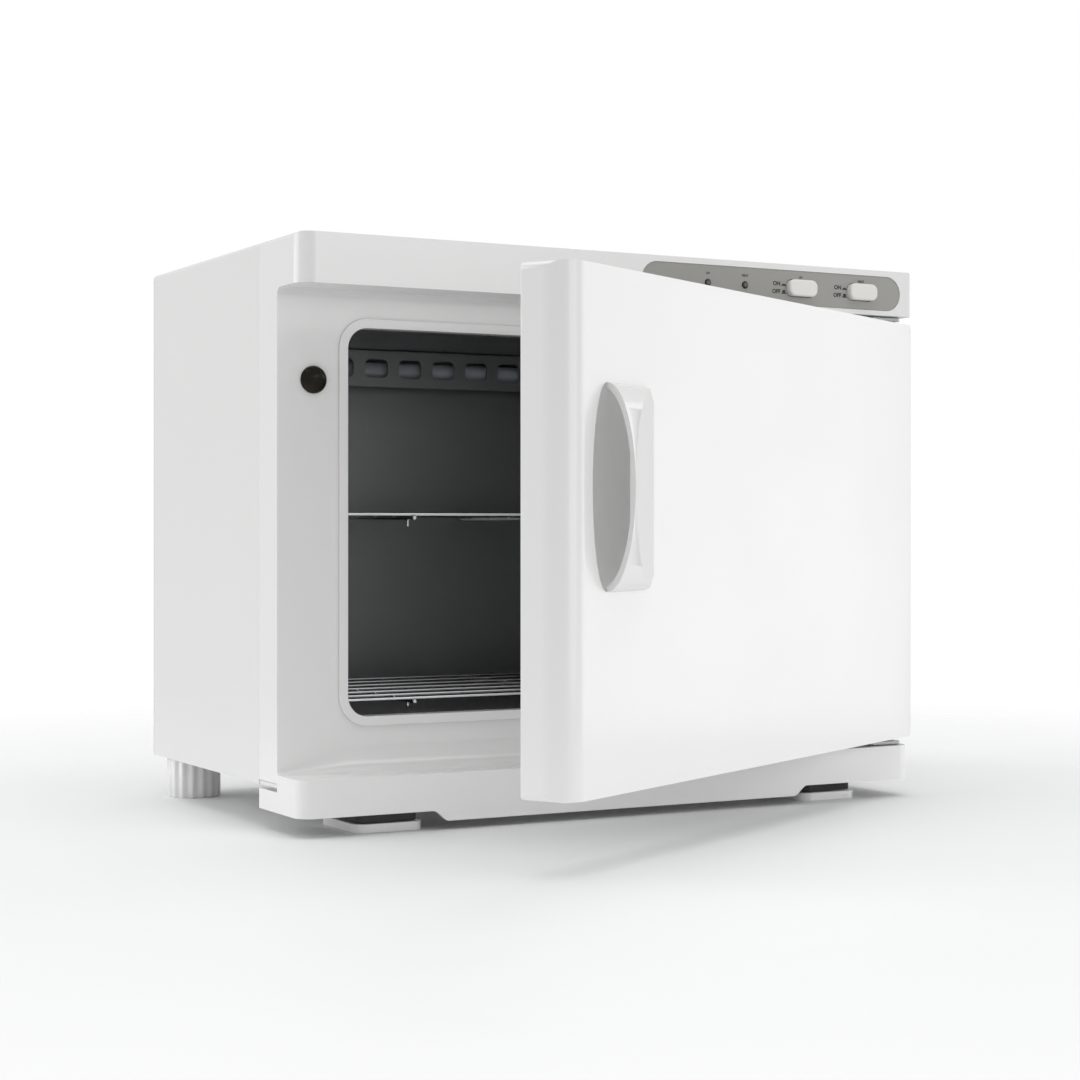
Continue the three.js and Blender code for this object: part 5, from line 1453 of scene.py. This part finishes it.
def build_door_skin(sizes):
    """Outer skin of the door with its finger pocket and hinge bosses."""
    low, high = shut_box("door_shell")
    piece = door_plan("door_skin", low, high, 0, sizes)
    cut_out(piece, door_plan("hollow", low, high, sizes.wall, sizes))
    pocket_wall = 2 * MM
    cup = pocket_scoop(sizes, pocket_wall)
    behind_face = block(
        "behind",
        (low.x + sizes.wall / 2, high.x),
        (low.y + sizes.wall / 2, high.y - 4 * MM),
        (low.z, high.z),
    )
    keep_inside(cup, behind_face)
    bush_low, bush_high = shut_box("hinge_bush_top")
    boss_half = BUSH_RADIUS + 4 * MM
    boss_length = bush_high.z - bush_low.z + 3 * MM
    boss_xs = (HINGE_AT.x - boss_half, high.x - 1 * MM)
    boss_ys = (HINGE_AT.y - boss_half, high.y - 3 * MM)
    bosses = [
        block("boss", boss_xs, boss_ys, (low.z + 1 * MM, low.z + boss_length)),
        block("boss", boss_xs, boss_ys, (high.z - boss_length, high.z - 1 * MM)),
    ]
    join_on(piece, cup, *bosses)
    hole = BUSH_RADIUS + SEAM
    long = boss_length + 2 * REACH
    lower = drill(hole, (HINGE_AT.x, HINGE_AT.y, low.z - REACH), long, (0, 0, 1))
    upper = drill(hole, (HINGE_AT.x, HINGE_AT.y, high.z + REACH), long, (0, 0, -1))
    cut_out(piece, pocket_scoop(sizes), lower, upper)
    soften(piece, sizes.edge, 4)
    scooped = pocket_faces(piece, sizes)
    as_open(piece)
    hand_over(piece, "door", "gloss_white", "door_shell")
    # Painted light: the faces inside the pocket get the whiter copy of the plastic
    piece.data.materials.append(FINISHES["pocket_white"])
    for index in scooped:
        piece.data.polygons[index].material_index = 1
    return piece


def hood(name, low, high, inset):
    """The hood as a bar with an arched section, cut off by its slope down to the door."""
    face = high.y
    rise = high.y - low.y
    half = (high.z - low.z) / 2 - inset
    middle_z = (low.z + high.z) / 2
    base = face + inset
    start = low.x - inset
    end = high.x - 2 * inset
    clear()
    bpy.ops.mesh.primitive_cylinder_add(
        vertices=160,
        radius=1,
        depth=end - start,
        location=((start + end) / 2, base, middle_z),
        rotation=(0, math.pi / 2, 0),
    )
    bar = settle(bpy.context.object)
    bar.name = name
    pick(bar, "VERT", lambda points: True)
    bpy.ops.transform.resize(value=(1, rise, half), center_override=((start + end) / 2, base, middle_z))
    clear()
    wedge = block("wedge", (start, end), (base - rise, base), (low.z - REACH, high.z + REACH))
    corner = (end, base - rise)
    pick(
        wedge,
        "VERT",
        lambda points: abs(points[0].x - corner[0]) < NEAR and abs(points[0].y - corner[1]) < NEAR,
    )
    bpy.ops.transform.translate(value=(0, rise - NEAR, 0))
    clear()
    return keep_inside(bar, wedge)


def build_handle(sizes):
    """Hooded grip over the finger pocket."""
    low, high = shut_box("door_handle")
    piece = hood("door_grip", low, high, 0)
    long, tall = sizes.handle_chamfer_x, sizes.handle_chamfer_z
    foot = block("footprint", (low.x, high.x), (low.y - REACH, high.y), (low.z, high.z))
    for z in (low.z, high.z):
        pick(foot, "EDGE", is_along(Y, (high.x, 0, z)))
        bpy.ops.mesh.bevel(offset=tall, segments=1, affect="EDGES")
        clear()
        pick(
            foot,
            "VERT",
            lambda points: abs(points[0].z - z) < NEAR and abs(points[0].x - (high.x - tall)) < NEAR,
        )
        bpy.ops.transform.translate(value=(tall - long, 0, 0))
        clear()
    keep_inside(piece, foot)
    cut_out(piece, hood("inside", low, high, sizes.handle_wall))
    soften(piece, sizes.handle_edge, 4, 28)
    as_open(piece)
    return hand_over(piece, "door", "gloss_white", "door_handle")


def build_door_back(sizes):
    """Inner panel with its raised middle, the seal round it and the strike plate."""
    low, high = shut_box("door_panel")
    open_xs, open_zs = opening_box()
    opening_radius = bpy.context.scene.cabinet_sizes.opening_radius
    thickness = 2.4 * MM
    plate_back = shut_box("door_shell")[1].y - SEAM
    inset = sizes.plateau_inset
    radius = 4.5 * MM - sizes.wall - SEAM
    xs, zs = (low.x, high.x), (low.z, high.z)
    piece = even_block("inner_door_panel", Y, xs, (low.y, plate_back), zs, radius, 8)
    plateau_xs, plateau_zs = grown(open_xs, -inset), grown(open_zs, -inset)
    corner = opening_radius - inset
    plateau = even_block("plateau", Y, plateau_xs, (low.y, high.y), plateau_zs, corner, 12)
    round_rim(plateau, high.y, 1.6 * MM, 4)
    join_on(piece, plateau)
    hollow_depth = (low.y - REACH, high.y - thickness)
    hollow = even_block(
        "hollow",
        Y,
        grown(plateau_xs, -thickness),
        hollow_depth,
        grown(plateau_zs, -thickness),
        max(corner - thickness, 0.5 * MM),
        8,
    )
    strike_low, strike_high = shut_box("strike_plate")
    strike_at = (strike_low + strike_high) / 2
    strike_radius = (strike_high.z - strike_low.z) / 2
    start = (strike_at.x, low.y - REACH, strike_at.z)
    hole = drill(strike_radius + SEAM, start, 3 * REACH, sides=40)
    cut_out(piece, hollow, hole)
    soften(piece, 0.5 * MM, 3)
    as_open(piece)
    hand_over(piece, "door", "gloss_white", "door_panel")

    length = strike_high.y - strike_low.y
    lip = 0.3 * MM
    profile = [
        (strike_radius - lip, 0),
        (strike_radius, lip),
        (strike_radius, length - lip),
        (strike_radius - lip, length),
    ]
    strike = turned(
        "door_strike", profile, (strike_at.x, strike_low.y, strike_at.z), (0, 1, 0), 48
    )
    shade(strike)
    as_open(strike)
    hand_over(strike, "door", "zinc_steel", "strike_plate")
    build_seal(sizes)


def build_seal(sizes):
    """Soft seal on the inner panel."""
    low, high = shut_box("door_gasket")
    opening_radius = bpy.context.scene.cabinet_sizes.opening_radius
    outer = opening_radius + (opening_box()[0][0] - low.x)
    width = sizes.gasket_width
    xs, ys, zs = (low.x, high.x), (low.y, high.y), (low.z, high.z)
    piece = even_block("door_seal", Y, xs, ys, zs, outer, 14)
    inner_ys = (ys[0] - REACH, ys[1] + REACH)
    inner = even_block("hole", Y, grown(xs, -width), inner_ys, grown(zs, -width), outer - width, 14)
    cut_out(piece, inner)
    clean(piece)
    round_rim(piece, ys[1], 2.2 * MM, 5)
    shade(piece, 50)
    as_open(piece)
    return hand_over(piece, "door", "seal_silicone", "door_gasket")


def build_bushes():
    """Flanged nylon bushes in the door's hinge bosses."""
    bore, barrel, flange, flange_length = 3.3 * MM, BUSH_RADIUS, 7 * MM, 1.2 * MM
    for end, direction in (("top", -1), ("bottom", 1)):
        node = f"hinge_bush_{end}"
        low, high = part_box(node)
        length = high.z - low.z
        start = high.z if direction < 0 else low.z
        lip = 0.3 * MM
        profile = [
            (flange - lip, 0),
            (flange, lip),
            (flange, flange_length),
            (barrel, flange_length),
            (barrel, length - lip),
            (barrel - lip, length),
        ]
        at = (HINGE_AT.x, HINGE_AT.y, start)
        piece = turned(f"door_bush_{end}", profile, at, (0, 0, direction), 40)
        bore_at = (HINGE_AT.x, HINGE_AT.y, low.z - REACH)
        cut_out(piece, drill(bore, bore_at, length + 2 * REACH, (0, 0, 1), 40))
        shade(clean(piece))
        hand_over(piece, "door", "natural_nylon", node)


# ---- Pieces that keep their engineering shape ----

CARRIED = {
    "base_pan": "case_enamel",
    "insulation_jacket": "insulation_felt",
    "base_insulation": "insulation_felt",
    "door_insulation": "insulation_felt",
    "heater_plate": "zinc_steel",
    "thermostat": "black_plastic",
    "thermal_fuse": "natural_nylon",
    "ballast": "zinc_steel",
    "starter": "natural_nylon",
    "terminal_block": "natural_nylon",
    "uv_switch": "black_plastic",
    "heat_switch": "black_plastic",
    "switch_bracket": "zinc_steel",
}


def dress_carried():
    """Gives the pieces inside the case their finishes."""
    for node, finish in CARRIED.items():
        mesh = frame["nodes"][node].data
        mesh.materials.clear()
        mesh.materials.append(FINISHES[finish])


# ---- The studio ----


FLOOR_SIZE = 14
FLOOR_FADE = (0.35, 1.0)  # from here to there the floor fades into the white surroundings
SKY_STRENGTH = 0.55

# Place, aim, width and height, and power of each lamp
LAMPS = {
    "left_lamp": ((-2.2, 1.2, 0.9), (0, 0, 0.18), (2.0, 2.0), 23),
    "right_lamp": ((2.4, -0.55, 0.6), (0, -0.1, 0.18), (1.6, 1.6), 10),
    "front_lamp": ((0.9, -2.4, 0.6), (0, 0, 0.18), (1.4, 1.4), 9),
    "overhead_lamp": ((0, -0.1, 3.0), (0, 0, 0), (3.0, 3.0), 42),
}

CAMERA_ASIDE = 0.7145  # to the left of the cabinet's middle
CAMERA_AHEAD = 1.18742  # in front of the fascia
CAMERA_HEIGHT = 0.18217
CAMERA_TURN = 28.69  # degrees to the right of straight ahead
CAMERA_LENS = 72.65
CAMERA_SENSOR = 36
CAMERA_SHIFT = -0.0095


def build_stage(colours):
    """Pale floor, soft lamps and the camera."""
    clear()
    bpy.ops.mesh.primitive_plane_add(size=1, location=(0, 0, 0))
    floor = bpy.context.object
    floor.name = "studio_floor"
    floor.scale = (FLOOR_SIZE, FLOOR_SIZE, 1)
    settle(floor)
    floor.data.materials.append(floor_finish(tuple(colours.floor)))
    bpy.context.scene.world = studio_light(SKY_STRENGTH)
    for name, values in LAMPS.items():
        lamp(name, *values)
    add_camera()


def floor_finish(colour):
    """Pale matt floor that fades into the white surroundings away from the cabinet."""
    grain = bpy.data.node_groups["surface_grain"]
    material = grained("studio_floor", colour, (0.5, 0.62), grain, 60.0)
    nodes, links = material.node_tree.nodes, material.node_tree.links
    places = nodes.new("ShaderNodeTexCoord")
    distance = nodes.new("ShaderNodeVectorMath")
    distance.operation = "LENGTH"
    fade = nodes.new("ShaderNodeMapRange")
    fade.interpolation_type = "SMOOTHSTEP"
    fade.inputs["From Min"].default_value = FLOOR_FADE[0]
    fade.inputs["From Max"].default_value = FLOOR_FADE[1]
    fade.inputs["To Min"].default_value = 1.0
    fade.inputs["To Max"].default_value = 0.0
    links.new(places.outputs["Object"], distance.inputs[0])
    links.new(distance.outputs["Value"], fade.inputs["Value"])
    links.new(fade.outputs["Result"], nodes["Principled BSDF"].inputs["Alpha"])
    return material


def studio_light(strength):
    """Even light from all round, and plain white where the camera sees past the floor."""
    world = bpy.data.worlds.new("studio")
    world.use_nodes = True
    nodes, links = world.node_tree.nodes, world.node_tree.links
    around = nodes["Background"]
    around.inputs["Color"].default_value = (1, 1, 1, 1)
    around.inputs["Strength"].default_value = strength
    behind = nodes.new("ShaderNodeBackground")
    behind.inputs["Color"].default_value = (1, 1, 1, 1)
    behind.inputs["Strength"].default_value = 1.0
    rays = nodes.new("ShaderNodeLightPath")
    chosen = nodes.new("ShaderNodeMixShader")
    links.new(rays.outputs["Is Camera Ray"], chosen.inputs["Fac"])
    links.new(around.outputs["Background"], chosen.inputs[1])
    links.new(behind.outputs["Background"], chosen.inputs[2])
    links.new(chosen.outputs["Shader"], nodes["World Output"].inputs["Surface"])
    return world


def lamp(name, at, towards, spread_of, power):
    """A soft rectangular lamp aimed at a point."""
    clear()
    turn = (Vector(towards) - Vector(at)).to_track_quat("-Z", "Y").to_euler()
    bpy.ops.object.light_add(type="AREA", location=at, rotation=turn)
    light = bpy.context.object
    light.name = name
    light.data.shape = "RECTANGLE"
    light.data.size, light.data.size_y = spread_of
    light.data.energy = power
    return light


def add_camera():
    """Camera to the left of the cabinet, level with the middle of its door."""
    clear()
    at = Vector((MIDDLE_X - CAMERA_ASIDE, FRONT - CAMERA_AHEAD, CAMERA_HEIGHT))
    turn = (math.radians(90), 0, math.radians(-CAMERA_TURN))
    bpy.ops.object.camera_add(location=at, rotation=turn)
    camera = bpy.context.object
    camera.data.lens = CAMERA_LENS
    camera.data.sensor_width = CAMERA_SENSOR
    camera.data.shift_y = CAMERA_SHIFT
    camera.data.clip_start = 0.01
    bpy.context.scene.camera = camera
    bpy.context.scene.view_settings.view_transform = "Standard"


# ---- Operators: one for each piece or group of like pieces ----


class CABINET_OT_finishes(Operator):
    """Make every finish and dress the pieces inside the case"""

    bl_idname = "cabinet.finishes"
    bl_label = "Finishes"

    def execute(self, context):
        make_finishes(context.scene.cabinet_colours)
        dress_carried()
        return {"FINISHED"}


class CABINET_OT_front(Operator):
    """Mould the fascia, columns, recess face and skirt"""

    bl_idname = "cabinet.front"
    bl_label = "Front moulding"

    def execute(self, context):
        build_front(context.scene.cabinet_sizes)
        return {"FINISHED"}


class CABINET_OT_case(Operator):
    """Fold the steel case"""

    bl_idname = "cabinet.case"
    bl_label = "Case"

    def execute(self, context):
        build_case(context.scene.cabinet_sizes)
        return {"FINISHED"}


class CABINET_OT_back(Operator):
    """Cut the back panel and set its screws"""

    bl_idname = "cabinet.back"
    bl_label = "Back panel and screws"

    def execute(self, context):
        build_back(context.scene.cabinet_sizes)
        return {"FINISHED"}


class CABINET_OT_ring(Operator):
    """Make the ring round the opening"""

    bl_idname = "cabinet.ring"
    bl_label = "Opening ring"

    def execute(self, context):
        build_ring(context.scene.cabinet_sizes)
        return {"FINISHED"}


class CABINET_OT_chamber(Operator):
    """Bend the chamber and its ledges"""

    bl_idname = "cabinet.chamber"
    bl_label = "Chamber and ledges"

    def execute(self, context):
        build_chamber(context.scene.cabinet_sizes)
        build_ledges(context.scene.cabinet_sizes)
        return {"FINISHED"}


class CABINET_OT_lamp(Operator):
    """Fit the ultraviolet lamp, its holders and its guard"""

    bl_idname = "cabinet.lamp"
    bl_label = "Lamp"

    def execute(self, context):
        build_lamp()
        return {"FINISHED"}


class CABINET_OT_racks(Operator):
    """Weld the two wire racks"""

    bl_idname = "cabinet.racks"
    bl_label = "Wire racks"

    def execute(self, context):
        build_rack(context.scene.rack_sizes)
        return {"FINISHED"}


class CABINET_OT_panel(Operator):
    """Cut the control overlay and print its lettering"""

    bl_idname = "cabinet.panel"
    bl_label = "Control overlay"

    def execute(self, context):
        build_panel()
        return {"FINISHED"}


class CABINET_OT_buttons(Operator):
    """Mould the push buttons and lamp lenses"""

    bl_idname = "cabinet.buttons"
    bl_label = "Buttons and lenses"

    def execute(self, context):
        build_buttons(context.scene.cabinet_sizes)
        return {"FINISHED"}


class CABINET_OT_catch(Operator):
    """Set the magnetic catch"""

    bl_idname = "cabinet.catch"
    bl_label = "Magnetic catch"

    def execute(self, context):
        build_catch(context.scene.cabinet_sizes)
        return {"FINISHED"}


class CABINET_OT_hinges(Operator):
    """Fit the hinge plates, pins and bushes"""

    bl_idname = "cabinet.hinges"
    bl_label = "Hinges"

    def execute(self, context):
        build_hinges()
        build_bushes()
        return {"FINISHED"}


class CABINET_OT_feet(Operator):
    """Make the front and rear feet"""

    bl_idname = "cabinet.feet"
    bl_label = "Feet"

    def execute(self, context):
        build_feet(context.scene.cabinet_sizes)
        return {"FINISHED"}


class CABINET_OT_gland(Operator):
    """Turn the cord gland"""

    bl_idname = "cabinet.gland"
    bl_label = "Cord gland"

    def execute(self, context):
        build_gland()
        return {"FINISHED"}


class CABINET_OT_door_skin(Operator):
    """Mould the door's outer skin with its finger pocket"""

    bl_idname = "cabinet.door_skin"
    bl_label = "Door skin"

    def execute(self, context):
        build_door_skin(context.scene.door_sizes)
        return {"FINISHED"}


class CABINET_OT_handle(Operator):
    """Mould the hooded grip"""

    bl_idname = "cabinet.handle"
    bl_label = "Handle"

    def execute(self, context):
        build_handle(context.scene.door_sizes)
        return {"FINISHED"}


class CABINET_OT_door_back(Operator):
    """Mould the inner door panel, its seal and its strike plate"""

    bl_idname = "cabinet.door_back"
    bl_label = "Inner door panel"

    def execute(self, context):
        build_door_back(context.scene.door_sizes)
        return {"FINISHED"}


class CABINET_OT_stage(Operator):
    """Set up the floor, lamps and camera"""

    bl_idname = "cabinet.stage"
    bl_label = "Studio"

    def execute(self, context):
        build_stage(context.scene.cabinet_colours)
        return {"FINISHED"}


STEPS = [
    CABINET_OT_finishes,
    CABINET_OT_front,
    CABINET_OT_case,
    CABINET_OT_back,
    CABINET_OT_ring,
    CABINET_OT_chamber,
    CABINET_OT_lamp,
    CABINET_OT_racks,
    CABINET_OT_panel,
    CABINET_OT_buttons,
    CABINET_OT_catch,
    CABINET_OT_hinges,
    CABINET_OT_feet,
    CABINET_OT_gland,
    CABINET_OT_door_skin,
    CABINET_OT_handle,
    CABINET_OT_door_back,
    CABINET_OT_stage,
]


GROUPS = {
    "cabinet_sizes": CabinetSizes,
    "door_sizes": DoorSizes,
    "rack_sizes": RackSizes,
    "cabinet_colours": CabinetColours,
}


class CABINET_PT_sidebar(Panel):
    """The cabinet's pieces, in the order in which they are made"""

    bl_idname = "CABINET_PT_sidebar"
    bl_label = "Towel cabinet"
    bl_space_type = "VIEW_3D"
    bl_region_type = "UI"
    bl_category = "Towel cabinet"

    def draw(self, context):
        for step in STEPS:
            self.layout.operator(step.bl_idname)
        for group in GROUPS:
            values = getattr(context.scene, group)
            box = self.layout.box()
            for name in values.__annotations__:
                box.prop(values, name)


def register():
    """Registers the sizes, the operators and the panel."""
    for name, group in GROUPS.items():
        bpy.utils.register_class(group)
        setattr(bpy.types.Scene, name, PointerProperty(type=group))
    for step in STEPS:
        bpy.utils.register_class(step)
    bpy.utils.register_class(CABINET_PT_sidebar)


def unregister():
    """Takes them away again."""
    bpy.utils.unregister_class(CABINET_PT_sidebar)
    for step in reversed(STEPS):
        bpy.utils.unregister_class(step)
    for name, group in GROUPS.items():
        delattr(bpy.types.Scene, name)
        bpy.utils.unregister_class(group)


def main():
    """Builds the whole cabinet."""
    register()
    for step in STEPS:
        module, name = step.bl_idname.split(".")
        getattr(getattr(bpy.ops, module), name)()


if __name__ == "__main__":
    main()
